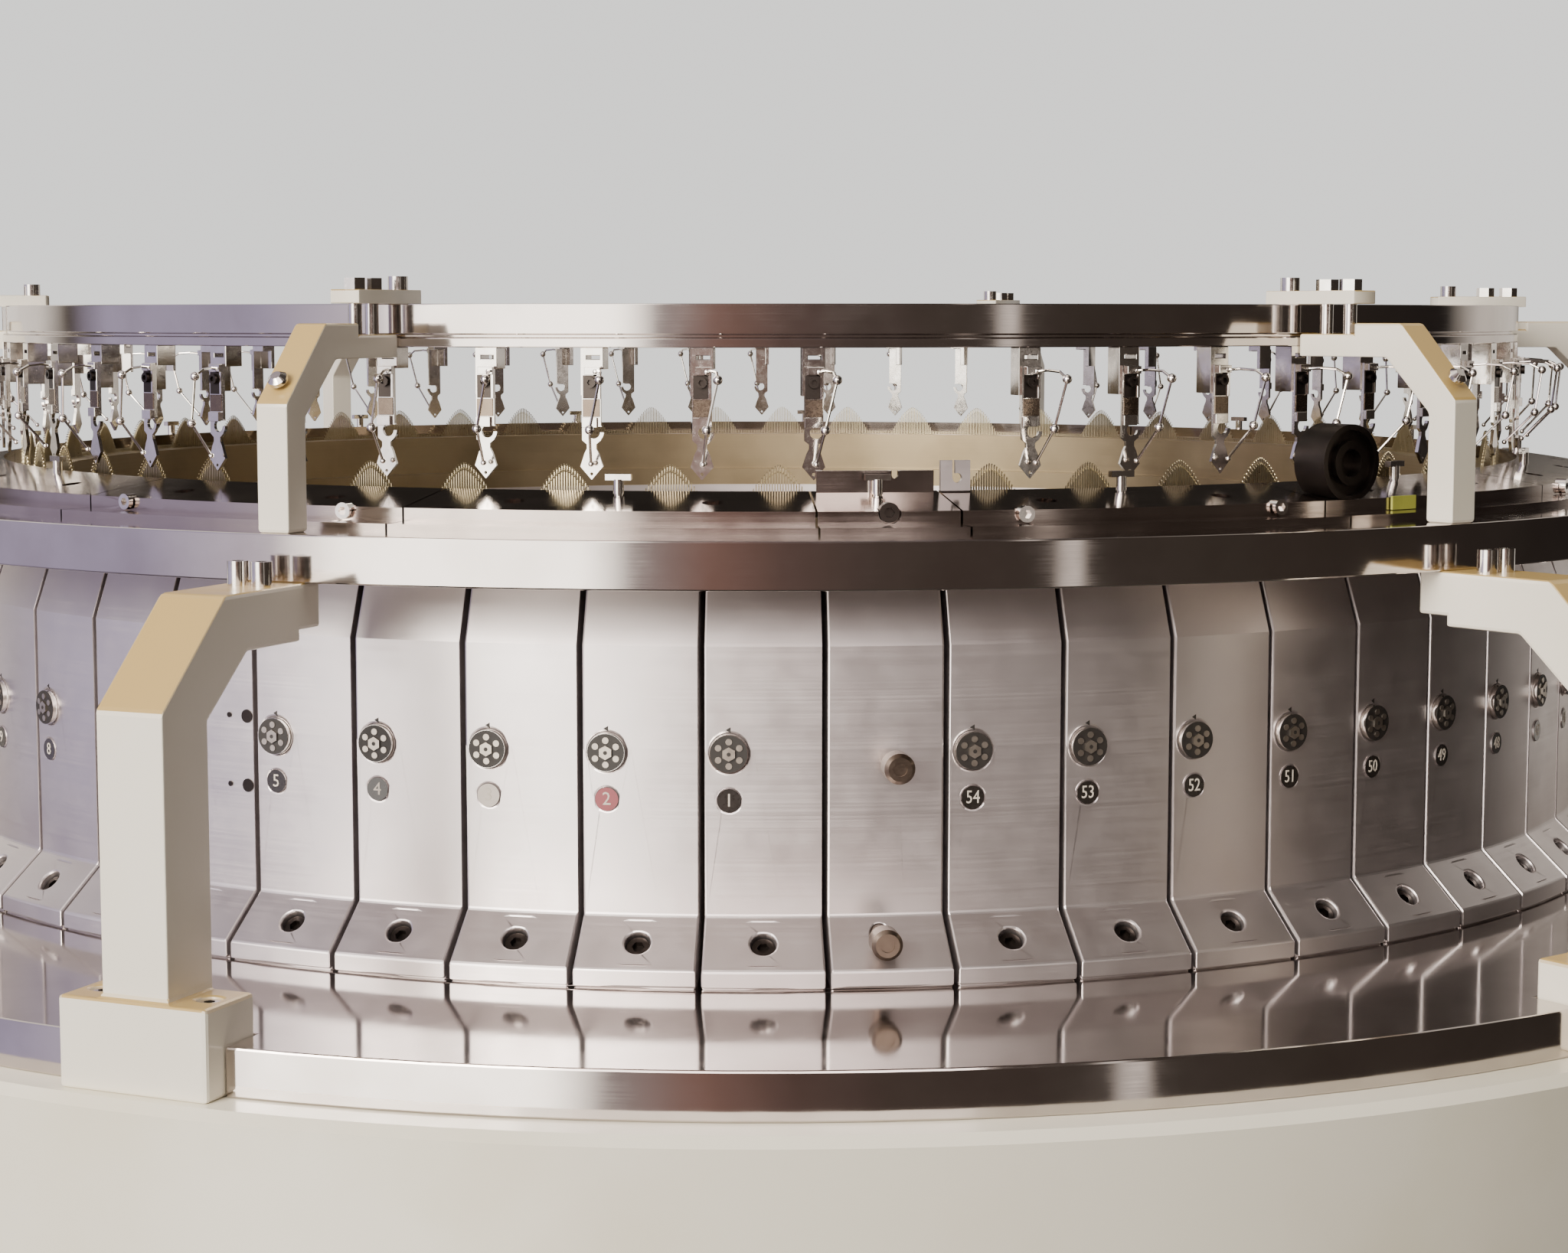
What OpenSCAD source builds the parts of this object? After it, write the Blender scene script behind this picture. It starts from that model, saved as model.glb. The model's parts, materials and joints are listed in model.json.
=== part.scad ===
// Circular knitting machine: an open single-jersey knitting head on a three-legged bed.
// Millimetres, +Z up from the floor. Places round the machine are angles seen from above,
// anticlockwise from the front, which faces -Y. Heights in the head count from the bed's top.

/* [Machine] */
// Number of yarn feeds round the head; one more place holds the door
feeds = 54; // [48:1:60]
// Radius of the circle that the needles stand on, a 32 inch cylinder
needle_r = 406.4; // [400:0.2:412]
// Height of the bed plate's polished top over the floor
bed_top = 900; // [850:1:950]
// Angle of the door's middle from the front
door_angle = 6.7; // [0:0.1:12]
// Width of the dark joint between two cam boxes
joint_gap = 2.2; // [1.4:0.1:3]

/* [Cam boxes] */
// Running gap between the needle cylinder and the cam boxes
cam_gap = 1.2; // [0.8:0.1:2]
// Depth of a cam box from the needles to its outer wall
box_depth = 43.4; // [38:0.1:48]
// Height of the upright rim of a cam box's foot
rim_h = 8; // [6:0.5:10]
// Height of the undercut under a rim
undercut_h = 0.8; // [0.5:0.1:1.2]
// Depth of that undercut
undercut = 2; // [1:0.5:3]
// Height of the foot's slope
slope_h = 19; // [15:0.5:24]
// How far the foot's slope stands out of the wall
slope_out = 21; // [18:0.5:24]
// Height of the wall from the slope to the bend
wall_h = 114; // [105:1:125]
// Height of the leaning panel over the bend
lean_h = 28; // [22:1:34]
// How far the leaning panel leans in
lean_in = 10; // [6:0.5:12]
// Diameter of the screw's counterbore in the slope
foot_bore_d = 11; // [9:0.5:12]
// Depth of that counterbore
foot_bore_depth = 8; // [6:0.5:10]
// Depth of the flat spot that the counterbore starts from
spot_depth = 0.05; // [0.03:0.01:0.1]
// Diameter of the foot screw's head
foot_screw_d = 9.6; // [8:0.1:10.4]
// Height of the foot screw's head
foot_screw_h = 5; // [3:0.5:6]
// Depth of the cam track in a box's inner face
track_depth = 8; // [5:0.5:10]
// Height of the cam track
track_h = 9; // [6:0.5:12]
// Height of the resting track over the bed
track_z = 60; // [50:1:70]

/* [Stitch dials] */
// Diameter of a stitch dial
dial_d = 16; // [13:0.5:18]
// Thickness of a dial's head
dial_t = 3; // [2:0.5:4]
// Diameter of a dial's stem
dial_stem_d = 7; // [5:0.5:9]
// Length of a dial's stem in the cam box
dial_stem = 12; // [8:1:16]
// Height of the dials over the foot's slope
dial_h = 69.2; // [64:0.1:76]
// Distance of a dial to the left of its box's middle
dial_shift = 14.3; // [12:0.1:15.5]
// Depth of the flat seat that the dial turns in
dial_seat = 1; // [0.6:0.1:2]
// Radial running gap of the dial's stem
dial_fit = 0.05; // [0.02:0.01:0.1]
// Diameter of a round feed number badge
badge_d = 10; // [8:0.5:11]
// Thickness of a badge
badge_t = 1.2; // [0.8:0.1:2]
// Distance from a dial down to its badge
badge_drop = 20; // [18.5:0.5:24]
// Number of dials on each side of the door that turn in this model
near_dials = 5; // [5:1:5]

/* [Door] */
// Working gap over the door, under the carrier ring
door_gap = 0.3; // [0.2:0.1:0.6]
// Diameter of a door knob
door_knob_d = 13; // [10:0.5:15]
// Length of a door knob
door_knob_l = 17; // [12:1:22]
// Diameter of a door knob's neck
door_neck_d = 8; // [6:0.5:9]
// Height of the upper knob over the foot's slope
door_knob_h = 64.4; // [50:0.2:75]
// How far the upper knob stands right of the door's middle
door_knob_x = 3.2; // [0:0.2:6]
// Depth of the door knobs' spigots in the door
door_knob_seat = 3; // [2:0.5:5]
// Height of the lower knob over the bed
low_knob_h = 20; // [16:0.5:22]
// How far the lower knob stands left of the door's middle
low_knob_x = 3.3; // [0:0.1:6]

/* [Carrier ring and caps] */
// Outer radius of the carrier ring over the needle radius
carrier_out = 100.6; // [98:0.1:103]
// Inner radius of the carrier ring over the needle radius
carrier_in = 38.6; // [37.5:0.1:40]
// Thickness of the carrier ring
carrier_h = 19.9; // [16:0.1:24]
// Number of sinker cap segments beside the door segment
cap_count = 16; // [14:1:18]
// Width of the cap door, as an angle
cap_door_angle = 7.6; // [7:0.1:9]
// Height of the cap's foot flange
cap_flange_h = 2.8; // [2:0.1:3.5]
// Outer radius of the cap's foot flange over the needle radius
cap_flange_out = 67.6; // [64:0.1:70]
// Outer radius of the cap's wall over the needle radius
cap_wall_out = 51.6; // [49:0.1:54]
// Height of the cap's outer wall over the carrier ring
cap_wall_h = 8.5; // [7:0.1:10]
// Height of the cap's inner edge over the carrier ring
cap_edge_h = 14.4; // [12:0.1:16]
// Gap from the needles to the cap's inner edge
cap_edge_gap = 9.6; // [8:0.1:11]
// Thickness of the cap's inner edge
cap_edge_t = 8.6; // [6:0.1:9]
// Diameter of a cap screw's head
cap_screw_d = 7; // [5.5:0.5:8]
// Diameter of the round holes in the cap's slope
cap_hole_d = 9; // [7:0.5:10]
// Length of a cap knob's bar
knob_bar = 11; // [9:0.5:13]
// Diameter of a cap knob's stem
knob_stem_d = 4.6; // [3.5:0.1:6]
// Height of a cap knob
knob_h = 9; // [7:0.5:11]
// Depth of a cap knob's pin in its hole
knob_pin = 4; // [3:0.5:5]
// Distance of the cap knobs from the cap's inner edge
knob_in = 9.5; // [9:0.5:12]
// Height of the needle shield on the cap door
shield_h = 8.8; // [6:0.1:10]
// Thickness of that shield
shield_t = 2.4; // [1.6:0.1:2.8]
// Width of the clip beside the cap door
clip_w = 13; // [10:0.5:15]
// Diameter of the round needle detector
sensor_d = 34; // [28:1:38]

/* [Brackets] */
// Number of bracket pairs round the machine
bracket_count = 6; // [6:1:6]
// Angle of the first bracket pair from the front
bracket_angle = -23.25; // [-25:0.25:-21]
// Width of a lower bracket
lower_w = 30.2; // [26:0.1:34]
// Radial thickness of a lower bracket's post
post_t = 30.4; // [26:0.1:34]
// Width of a lower bracket's foot
foot_w = 68; // [60:1:76]
// Height of the foot over the bed plate
foot_h = 16.5; // [12:0.5:20]
// How far the foot stands out past the post
foot_lip = 3; // [1:0.5:5]
// Height from the post's bend to the arm's top
post_slant_h = 41; // [36:1:46]
// How far the slanted face runs in
post_slant_in = 44; // [38:1:50]
// Thickness of the arm's end
arm_end_h = 19; // [16:0.5:22]
// Extra thickness of the arm behind its end
arm_step_h = 4.5; // [3:0.5:6]
// How far the arm's end reaches in under the carrier ring
arm_seat = 12.7; // [10:0.1:15]
// Diameter of the arm screws' heads
arm_screw_d = 8.8; // [8:0.2:11]
// Height of the arm screws' heads
arm_screw_h = 10; // [8:0.5:12]
// Distance between an arm's two screws
arm_screw_gap = 11.2; // [11:0.2:16]
// Distance of those heads from the carrier ring's edge
arm_screw_out = 11.6; // [6:0.2:14]
// Width of an upper bracket
upper_w = 14.6; // [12:0.1:17]
// Radial thickness of an upper bracket's post
upper_post_t = 14.4; // [12:0.1:17]
// Height of an upper bracket's post up to its bend
upper_post_h = 53; // [46:1:60]
// Height from that bend to the arm's top
upper_slant_h = 32.5; // [28:0.5:36]
// How far the upper slant runs in
upper_slant_in = 31; // [27:0.5:35]
// Step down from the arm's top to its end
upper_step = 4.8; // [3:0.1:6]
// Thickness of the upper arm's end
upper_end_h = 10; // [8:0.5:12]
// Length of the arm's end from the feeder ring to its step
upper_end_l = 32; // [26:1:36]

/* [Feeders] */
// Gap from the needles to the back of the feeder plates
feeder_gap = 8.4; // [7.5:0.1:9.4]
// Thickness of a feeder plate
feeder_t = 1.6; // [1:0.1:2]
// Height of the feeder tips over the carrier ring
feeder_tip_h = 19; // [17.5:0.5:21]
// Full height of a feeder from its tip to the feeder ring
feeder_l = 56.2; // [52:0.1:60]
// Width of a feeder's hanger block
hanger_w = 10; // [8:0.5:12]
// Height of a hanger block
hanger_h = 20.5; // [16:0.5:22]
// Radial depth of a hanger block
hanger_t = 10; // [7:0.5:12]
// Width of a feeder plate
plate_w = 8.2; // [7:0.1:9]
// Radial width of the feeder ring
feeder_ring_w = 25; // [20:1:30]
// Height of the feeder ring
feeder_ring_h = 18.7; // [16:0.1:22]
// Thickness of the plates that hang the ring on the arms
clamp_t = 6; // [4:0.5:8]
// Diameter of the studs between an arm and its plate
stud_d = 6; // [5:0.5:7]

/* [Needle cylinder] */
// Wall of the needle cylinder
cylinder_wall = 24; // [20:1:28]
// Needles modelled in each feed's place
needles_a_feed = 8; // [6:1:8]
// Width of a needle groove
groove_w = 1.5; // [1.2:0.1:1.8]
// Depth of a needle groove
groove_depth = 2.6; // [2.2:0.1:3]
// Height of the grooved ring on top of the cylinder
trick_h = 24; // [18:1:30]
// Height of the cylinder's top edge over the carrier ring
verge_h = 6.8; // [5:0.1:8.4]
// Rise of a needle at the top of its wave
needle_lift = 16.4; // [12:0.1:18]
// Height of a resting needle's hook over the cylinder
needle_rest = 2; // [1:0.5:4]
// Height of the sinkers
sinker_h = 5.6; // [4:0.1:6.4]
// Thickness of the sinker ring
sinker_ring_h = 14; // [10:0.5:15]

/* [Bed and drive] */
// Thickness of the polished bed plate
plate_t = 20; // [16:1:24]
// Width of the bed plate outside the needles
plate_out = 193.6; // [188:0.1:200]
// How far the bed casting stands out past the plate
casting_lip = 20; // [14:1:26]
// Height of the bed casting
casting_h = 130; // [120:1:150]
// Wall of the bed casting
casting_wall = 22; // [18:1:26]
// Distance of the ring gear's pitch circle outside the needles
gear_out = 25.6; // [24:0.2:34]
// Teeth on the drive pinion
pinion_teeth = 24; // [20:1:26]
// Module of the drive gears
gear_module = 4; // [4:1:4]
// Play between the teeth
backlash = 0.4; // [0.3:0.05:0.6]
// Thickness of the ring gear
gear_h = 25; // [20:1:30]
// Diameter of a bearing ball
ball_d = 16; // [12:1:18]
// Number of bearing balls
ball_count = 48; // [36:1:60]
// Diameter of the drive shaft
shaft_d = 30; // [25:1:36]
// Length of the drive shaft under the bed
shaft_l = 150; // [135:1:200]
// Diameter of the shaft's free end, which takes the motor's coupling
shaft_end_d = 28; // [22:1:30]
// Length of that free end
shaft_end_l = 120; // [80:1:125]
// Radial running gap of the shafts
shaft_fit = 0.05; // [0.02:0.01:0.1]

/* [Legs and take-down] */
// Number of legs
leg_count = 3; // [3:1:3]
// Width of a leg
leg_w = 110; // [90:1:130]
// Radial depth of a leg
leg_t = 110; // [90:1:120]
// How far the legs stand in from the bed's edge
leg_set_in = 25; // [20:1:40]
// Height of a leg's straight foot
leg_foot_h = 40; // [30:1:50]
// Height of a leg's straight head
leg_head_h = 60; // [50:1:80]
// How far a leg's column stands back from its head and foot
leg_waist = 14; // [8:1:20]
// How far a leg's head reaches inwards
leg_knee = 20; // [10:1:30]
// How far a leg's sole stands out at each side
leg_sole = 15; // [10:1:20]
// Height of the base spider over the legs' feet
spider_h = 110; // [100:1:140]
// Height of the levelling feet under the legs
level_h = 40; // [30:1:50]
// Diameter of a levelling pad
pad_d = 80; // [60:1:90]
// Thickness of the take-down's side plates
side_t = 12; // [8:1:16]
// Distance between the take-down's side plates
side_gap = 620; // [580:5:640]
// Width of a side plate
side_w = 240; // [200:5:260]
// Height of the take-down frame
takedown_h = 530; // [500:5:560]
// Height of the draw rollers over the take-down's floor
draw_h = 220; // [200:5:260]
// Height of the cloth roller over the take-down's floor
cloth_h = 90; // [80:5:120]
// Diameter of the draw rollers
draw_d = 60; // [50:1:70]
// Gap between the draw rollers
draw_gap = 0.6; // [0.4:0.1:1]
// Diameter of the roller journals
journal_d = 20; // [16:1:24]
// Diameter of the cloth roller
cloth_d = 50; // [40:1:60]

/* [Hidden] */
$fn = 48;
ring_fn = 240;
touch = 0.3;
deg = 180 / PI;
pitch = 360 / (feeds + 1);

box_in_r = needle_r + cam_gap;
wall_r = box_in_r + box_depth;
rim_r = wall_r + slope_out;
slope_top = rim_h + slope_h;
bend_z = slope_top + wall_h;
box_top = bend_z + lean_h;
gap_angle = joint_gap / wall_r * deg;
dial_z = slope_top + dial_h;
dial_angle = dial_shift / wall_r * deg;
slope_tilt = atan(slope_h / slope_out);
seat_gap = 0.01;
knob_edge = 1.5;
knob_dish = 0.8;
low_neck_r = wall_r + (slope_top - low_knob_h + door_knob_d / 2) * slope_out / slope_h + 1;

carrier_r = needle_r + carrier_out;
carrier_z = box_top + door_gap;
carrier_top = carrier_z + carrier_h;
cap_wall_r = needle_r + cap_wall_out;
cap_edge_r = needle_r + cap_edge_gap;
cap_span = (360 - cap_door_angle) / cap_count;
cap_tilt = atan((cap_edge_h - cap_wall_h) / (cap_wall_r - cap_edge_r));
knob_r = cap_edge_r + knob_in;
knob_z = carrier_top + cap_edge_h - (knob_r - cap_edge_r) * tan(cap_tilt);
shield_r = cap_edge_r + 1;
shield_span = cap_door_angle - 0.7;
door_bolt_z = carrier_top + cap_flange_h + foot_screw_d / 2 + 0.2;

bracket_pitch = 360 / bracket_count;
post_in_r = carrier_r + 70;
post_r = post_in_r + post_t;
arm_end_r = carrier_r - arm_seat;
arm_screw_r = carrier_r + arm_screw_d / 2 + arm_screw_out;

feeder_r = needle_r + feeder_gap;
feeder_tip = carrier_top + feeder_tip_h;
feeder_ring_z = feeder_tip + feeder_l;
feeder_ring_top = feeder_ring_z + feeder_ring_h;
feeder_lag = 0.3;
upper_r = carrier_r - 2;
upper_top = carrier_top + upper_post_h + upper_slant_h;
upper_end_top = upper_top - upper_step;
upper_end_r = feeder_r + touch;

cylinder_in_r = needle_r - cylinder_wall;
verge_z = carrier_top + verge_h;
trick_z = verge_z - trick_h;
groove_angle = groove_w / needle_r * deg;
needle_pitch = pitch / needles_a_feed;
needle_t = groove_w - 0.4;
sinker_top = carrier_top + cap_edge_h - cap_edge_t - 0.8;
sinker_z = sinker_top - sinker_h;
sinker_in_r = needle_r + touch;
sinker_out_r = needle_r + carrier_in - 2;
wave_share = 0.31;
wave_round = 1.6;

plate_in_r = needle_r + 2.5;
plate_r = needle_r + plate_out;
casting_r = plate_r + casting_lip;
casting_top = -plate_t;
casting_low = casting_top - casting_h;
casting_edge = 4;
table_low = casting_top - casting_wall;
gear_top = -plate_t - casting_wall - 20;
gear_low = gear_top - gear_h;
gear_teeth = round(2 * (needle_r + gear_out) / gear_module);
gear_r = gear_teeth * gear_module / 2;
pinion_r = pinion_teeth * gear_module / 2;
shaft_y = gear_r + pinion_r;
gear_in_r = cylinder_in_r - 10;
race_top = gear_low - 6;
race_in_r = cylinder_in_r + 10;
race_w = 2 * ball_d;
race_r = race_in_r + race_w / 2;
web_top = casting_low + casting_wall;
shaft_low = casting_low - shaft_l;

leg_in_r = casting_r - leg_set_in - leg_t;
leg_low = level_h - bed_top;
takedown_top = gear_low;
takedown_low = takedown_top - takedown_h;
takedown_ring_h = 14;
takedown_r = race_in_r - 4;
side_x = side_gap / 2;
draw_z = takedown_low + draw_h;
cloth_z = takedown_low + cloth_h;
draw_y = (draw_d + draw_gap) / 2;
spider_top = leg_low + spider_h;
pivot_d = 30;

STEEL = "#c9c6c4";
CHROME = "#dcdcde";
CREAM = "#e6e0cf";
DARK = "#3a3633";

// Angle of the middle of a feed's cam box; feed 1 is left of the door and they count leftwards
function box_angle(feed) = door_angle - feed * pitch;
// Angle of a feed's yarn feeder, at its box's right joint
function feeder_angle(feed) = box_angle(feed) + pitch / 2 - feeder_lag;
// Angle of the middle of a cap segment, counted leftwards from the cap door
function cap_angle(i) = door_angle - cap_door_angle / 2 - (i + 0.5) * cap_span;
// Angle of a bracket pair
function post_angle(i) = bracket_angle + i * bracket_pitch;
// Share of the full rise of a needle at an angle, from the nearest feeder's wave
function rise(angle) = let (
        place = (door_angle + pitch / 2 - feeder_lag - angle) / pitch,
        turn = place - floor(place / (feeds + 1)) * (feeds + 1),
        beside = turn - floor(turn)
    ) turn < 1 ? 0 : max(0, 1 - pow(abs(beside - wave_share) / wave_share, wave_round));
// Involute of an angle, in degrees
function inv(a) = tan(a) * deg - a;
// Half the angle that a tooth fills at a radius
function half_tooth(teeth, r) = 90 / teeth + inv(20)
    - inv(acos(min(1, teeth * gear_module * cos(20) / 2 / r))) - backlash / 4 / r * deg;
// Corner points of a gear, three to a flank
function gear_points(teeth) = let (
        p = teeth * gear_module / 2,
        radii = [p - 1.25 * gear_module, p, p + gear_module]
    ) [for (i = [0:teeth - 1]) each [
        for (side = [-1, 1]) for (j = side < 0 ? [0, 1, 2] : [2, 1, 0])
            let (a = i * 360 / teeth + side * half_tooth(teeth, radii[j]))
                radii[j] * [cos(a), sin(a)]]];

// A ring about the machine's axis
module ring(r_in, r_out, z_low, z_high) {
    rotate_extrude($fn = ring_fn)
        translate([r_in, z_low])
            square([r_out - r_in, z_high - z_low]);
}

// A profile of radius and height turned through an angle about the front
module sector(span) {
    rotate([0, 0, -90 - span / 2])
        rotate_extrude(angle = span, $fn = ring_fn)
            children();
}

// A profile of radius and height as an upright plate of width w at the front
module radial_plate(w) {
    rotate([0, 0, -90])
        translate([0, w / 2, 0])
            rotate([90, 0, 0])
                linear_extrude(w)
                    children();
}

// Stands children on a round wall: their Z points outwards and their Y up
module outward(angle, r, z) {
    rotate([0, 0, angle])
        translate([0, -r, z])
            rotate([90, 0, 0])
                children();
}

// Moves children up to the bed plate's top
module on_bed() {
    translate([0, 0, bed_top])
        children();
}

// A place on the wall at a feed's dial and badge, which stand left of the box's middle
module at_dial(feed, r, z) {
    outward(box_angle(feed) - dial_angle, r, z)
        children();
}

// Section of a cam box: rim, slope, wall and leaning panel
module box_section(top) {
    polygon([[box_in_r, 0], [rim_r - undercut, 0], [rim_r - undercut, undercut_h],
        [rim_r, undercut_h], [rim_r, rim_h], [wall_r, slope_top], [wall_r, bend_z],
        [wall_r - lean_in, top], [box_in_r, top]]);
}

// The path that lifts the needles to each feeder and draws them down again
module cam_track() {
    half_w = pitch / 2 * box_in_r / deg + 1;
    peak_x = half_w - 2 * wave_share * half_w;
    low = [[-half_w, 0], [peak_x - 14, 0], [peak_x, needle_lift], [peak_x + 12, -2], [half_w, 0]];
    translate([0, track_z])
        polygon(concat(low, [for (i = [4:-1:0]) low[i] + [0, track_h]]));
}

// A bore square to the foot's slope, at the middle of a box
module slope_frame() {
    translate([0, -(rim_r + wall_r) / 2, (rim_h + slope_top) / 2])
        rotate([slope_tilt, 0, 0])
            children();
}

// One cam box at the front, with its screw bore, cam track and dial and badge seats
module cam_box() {
    difference() {
        sector(pitch - gap_angle)
            box_section(box_top);
        slope_frame() {
            translate([0, 0, -foot_bore_depth])
                cylinder(d = foot_bore_d, h = foot_bore_depth + 10);
            translate([-foot_bore_d, -foot_bore_d, -spot_depth])
                cube([2 * foot_bore_d, 2 * foot_bore_d, 10]);
        }
        outward(0, box_in_r + track_depth, 0)
            translate([0, 0, -track_depth - 5])
                linear_extrude(track_depth + 5)
                    cam_track();
        outward(-dial_angle, wall_r - dial_seat, dial_z)
            cylinder(d = dial_d + 1, h = dial_seat + 5);
        outward(-dial_angle, wall_r - dial_stem - 1, dial_z)
            cylinder(d = dial_stem_d + 2 * dial_fit, h = dial_stem + 5);
        outward(-dial_angle, wall_r - badge_t / 2, dial_z - badge_drop)
            cylinder(d = badge_d, h = badge_t / 2 + 5);
    }
}

module cam_boxes() {
    color(STEEL)
        on_bed()
            for (feed = [1:feeds])
                rotate([0, 0, box_angle(feed)])
                    cam_box();
}

// A socket cap screw's head standing on z = 0
module socket_head(d, h) {
    difference() {
        cylinder(d = d, h = h);
        translate([0, 0, h / 2])
            cylinder(d = d * 0.55, h = h, $fn = 6);
    }
}

module cam_box_screws() {
    color(DARK)
        on_bed()
            for (feed = [1:feeds])
                rotate([0, 0, box_angle(feed)])
                    slope_frame()
                        translate([0, 0, -foot_bore_depth])
                            socket_head(foot_screw_d, foot_screw_h);
}

module feed_badges() {
    color("#2c2a2b")
        on_bed()
            for (feed = [1:feeds])
                at_dial(feed, wall_r - badge_t / 2, dial_z - badge_drop)
                    cylinder(d = badge_d - 0.1, h = badge_t);
}

// A stitch dial: a stem, and a head with a screw slot
module dial(feed) {
    color(CHROME)
        on_bed()
            at_dial(feed, wall_r - dial_seat + touch, dial_z)
                union() {
                    translate([0, 0, -dial_stem])
                        cylinder(d = dial_stem_d, h = dial_stem);
                    difference() {
                        cylinder(d = dial_d, h = dial_t);
                        translate([-dial_d * 0.18, -0.6, dial_t - 1])
                            cube([dial_d * 0.36, 1.2, 2]);
                    }
                }
}

module stitch_dials() {
    for (feed = [near_dials + 1:feeds - near_dials])
        dial(feed);
}

module door_box() {
    color(STEEL)
        on_bed()
            rotate([0, 0, door_angle])
                difference() {
                    sector(pitch - gap_angle)
                        box_section(box_top);
                    outward(0, box_in_r + track_depth, 0)
                        translate([0, 0, -track_depth - 5])
                            linear_extrude(track_depth + 5)
                                translate([-wall_r, track_z])
                                    square([2 * wall_r, track_h]);
                    upper_knob_seat()
                        cylinder(d = door_neck_d + 2 * dial_fit, h = slope_out);
                    lower_knob_seat()
                        cylinder(d = door_neck_d + 2 * dial_fit, h = slope_out + 10);
                }
}

// A turned pull knob standing on z = 0: a neck of a given length and a grip with a dished end
module pull_knob(neck_l) {
    r = door_knob_d / 2;
    neck = door_neck_d / 2;
    top = neck_l + door_knob_l * 0.75;
    rotate_extrude()
        difference() {
            polygon([[0, 0], [neck, 0], [neck, neck_l], [r, neck_l + door_knob_l * 0.1],
                [r, top - knob_edge], [r - knob_edge, top], [0, top]]);
            translate([0, top - knob_dish])
                square([r * 0.45, 2 * knob_dish]);
        }
}

// The seats of the upper and the lower door knob, drilled level into the door
module upper_knob_seat() {
    outward(door_knob_x / wall_r * deg, wall_r - door_knob_seat, slope_top + door_knob_h)
        children();
}

module lower_knob_seat() {
    outward(-low_knob_x / wall_r * deg, wall_r - door_knob_seat, low_knob_h)
        children();
}

module door_knobs() {
    color(STEEL)
        on_bed()
            rotate([0, 0, door_angle]) {
                upper_knob_seat()
                    translate([0, 0, seat_gap])
                        pull_knob(door_knob_seat + door_knob_l * 0.25);
                lower_knob_seat()
                    translate([0, 0, seat_gap])
                        pull_knob(low_neck_r - wall_r + door_knob_seat);
            }
}

module carrier_ring() {
    color(STEEL)
        on_bed()
            ring(needle_r + carrier_in, carrier_r, carrier_z, carrier_top);
}

// Section of a sinker cap: flange, wall, slope and inner edge, open under the slope
module cap_section() {
    in_r = needle_r + carrier_in + 1;
    edge_low = carrier_top + cap_edge_h - cap_edge_t;
    polygon([[in_r, carrier_top], [needle_r + cap_flange_out, carrier_top],
        [needle_r + cap_flange_out, carrier_top + cap_flange_h],
        [cap_wall_r, carrier_top + cap_flange_h], [cap_wall_r, carrier_top + cap_wall_h],
        [cap_edge_r, carrier_top + cap_edge_h], [cap_edge_r, edge_low], [in_r, edge_low]]);
}

// Stands children on the cap's slope, square to it, at a radius
module on_cap(angle, r) {
    rotate([0, 0, angle])
        translate([0, -r, carrier_top + cap_wall_h + (cap_wall_r - r) * tan(cap_tilt)])
            rotate([cap_tilt, 0, 0])
                children();
}

// A hole for a cap knob's pin
module knob_hole() {
    translate([0, -knob_r, knob_z - knob_pin - 1])
        cylinder(d = knob_stem_d - 1 + 2 * shaft_fit, h = knob_pin + 5);
}

module sinker_caps() {
    hole_angle = cap_span / 4;
    screw_angle = cap_span / 2 - 3.4;
    color(STEEL)
        on_bed()
            for (i = [0:cap_count - 1])
                rotate([0, 0, cap_angle(i)])
                    difference() {
                        sector(cap_span - 0.12)
                            cap_section();
                        for (side = [-1, 1])
                            on_cap(side * hole_angle, cap_wall_r - 18)
                                translate([0, 0, -4])
                                    cylinder(d = cap_hole_d, h = 8);
                        if (i % 2 == 1)
                            for (side = [-1, 1])
                                outward(side * screw_angle, cap_wall_r - 2, screw_z())
                                    cylinder(d = cap_screw_d + 1.6, h = 12);
                        knob_hole();
                    }
}

// Height of the screws on the cap's wall
function screw_z() = carrier_top + cap_wall_h - cap_screw_d / 4;

module cap_screws() {
    screw_angle = cap_span / 2 - 3.4;
    color(CHROME)
        on_bed()
            for (i = [1:2:cap_count - 1])
                for (side = [-1, 1])
                    outward(cap_angle(i) + side * screw_angle, cap_wall_r - 2, screw_z())
                        socket_head(cap_screw_d, 5);
}

// A T-shaped clamp knob: a pin in the cap, a stem and a cross bar
module cap_knob(angle) {
    color(CHROME)
        on_bed()
            rotate([0, 0, angle])
                translate([0, -knob_r, knob_z])
                    union() {
                        translate([0, 0, -knob_pin])
                            cylinder(d = knob_stem_d - 1, h = knob_pin + 2);
                        translate([0, 0, touch + 0.3])
                            cylinder(d = knob_stem_d, h = knob_h - 2.8);
                        translate([-knob_bar / 2, -1.6, knob_h - 2.6])
                            cube([knob_bar, 3.2, 2.6]);
                    }
}

module cap_knobs() {
    for (i = [1:cap_count - 2])
        cap_knob(cap_angle(i));
}

// The cap over the door, with a shield that stands before the needles
module cap_door() {
    bore_r = foot_screw_d / 2;
    color(STEEL)
        on_bed()
            rotate([0, 0, door_angle])
                difference() {
                    union() {
                        sector(cap_door_angle - 0.12)
                            cap_section();
                        sector(shield_span)
                            translate([shield_r, carrier_top + cap_edge_h - 2])
                                square([shield_t, shield_h + 2]);
                    }
                    outward(0, cap_wall_r - 6, door_bolt_z)
                        cylinder(r = bore_r, h = 12);
                    outward(shield_span / 6, shield_r - 2, carrier_top + cap_edge_h + shield_h - 2) {
                        cylinder(d = 2.8, h = shield_t + 4);
                        translate([-1.4, 0, 0])
                            cube([2.8, 4, shield_t + 4]);
                    }
                    knob_hole();
                }
}

module cap_door_bolt() {
    color(DARK)
        on_bed()
            rotate([0, 0, door_angle])
                outward(0, cap_wall_r - 6, door_bolt_z)
                    socket_head(foot_screw_d - 1.2, 5);
}

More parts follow.
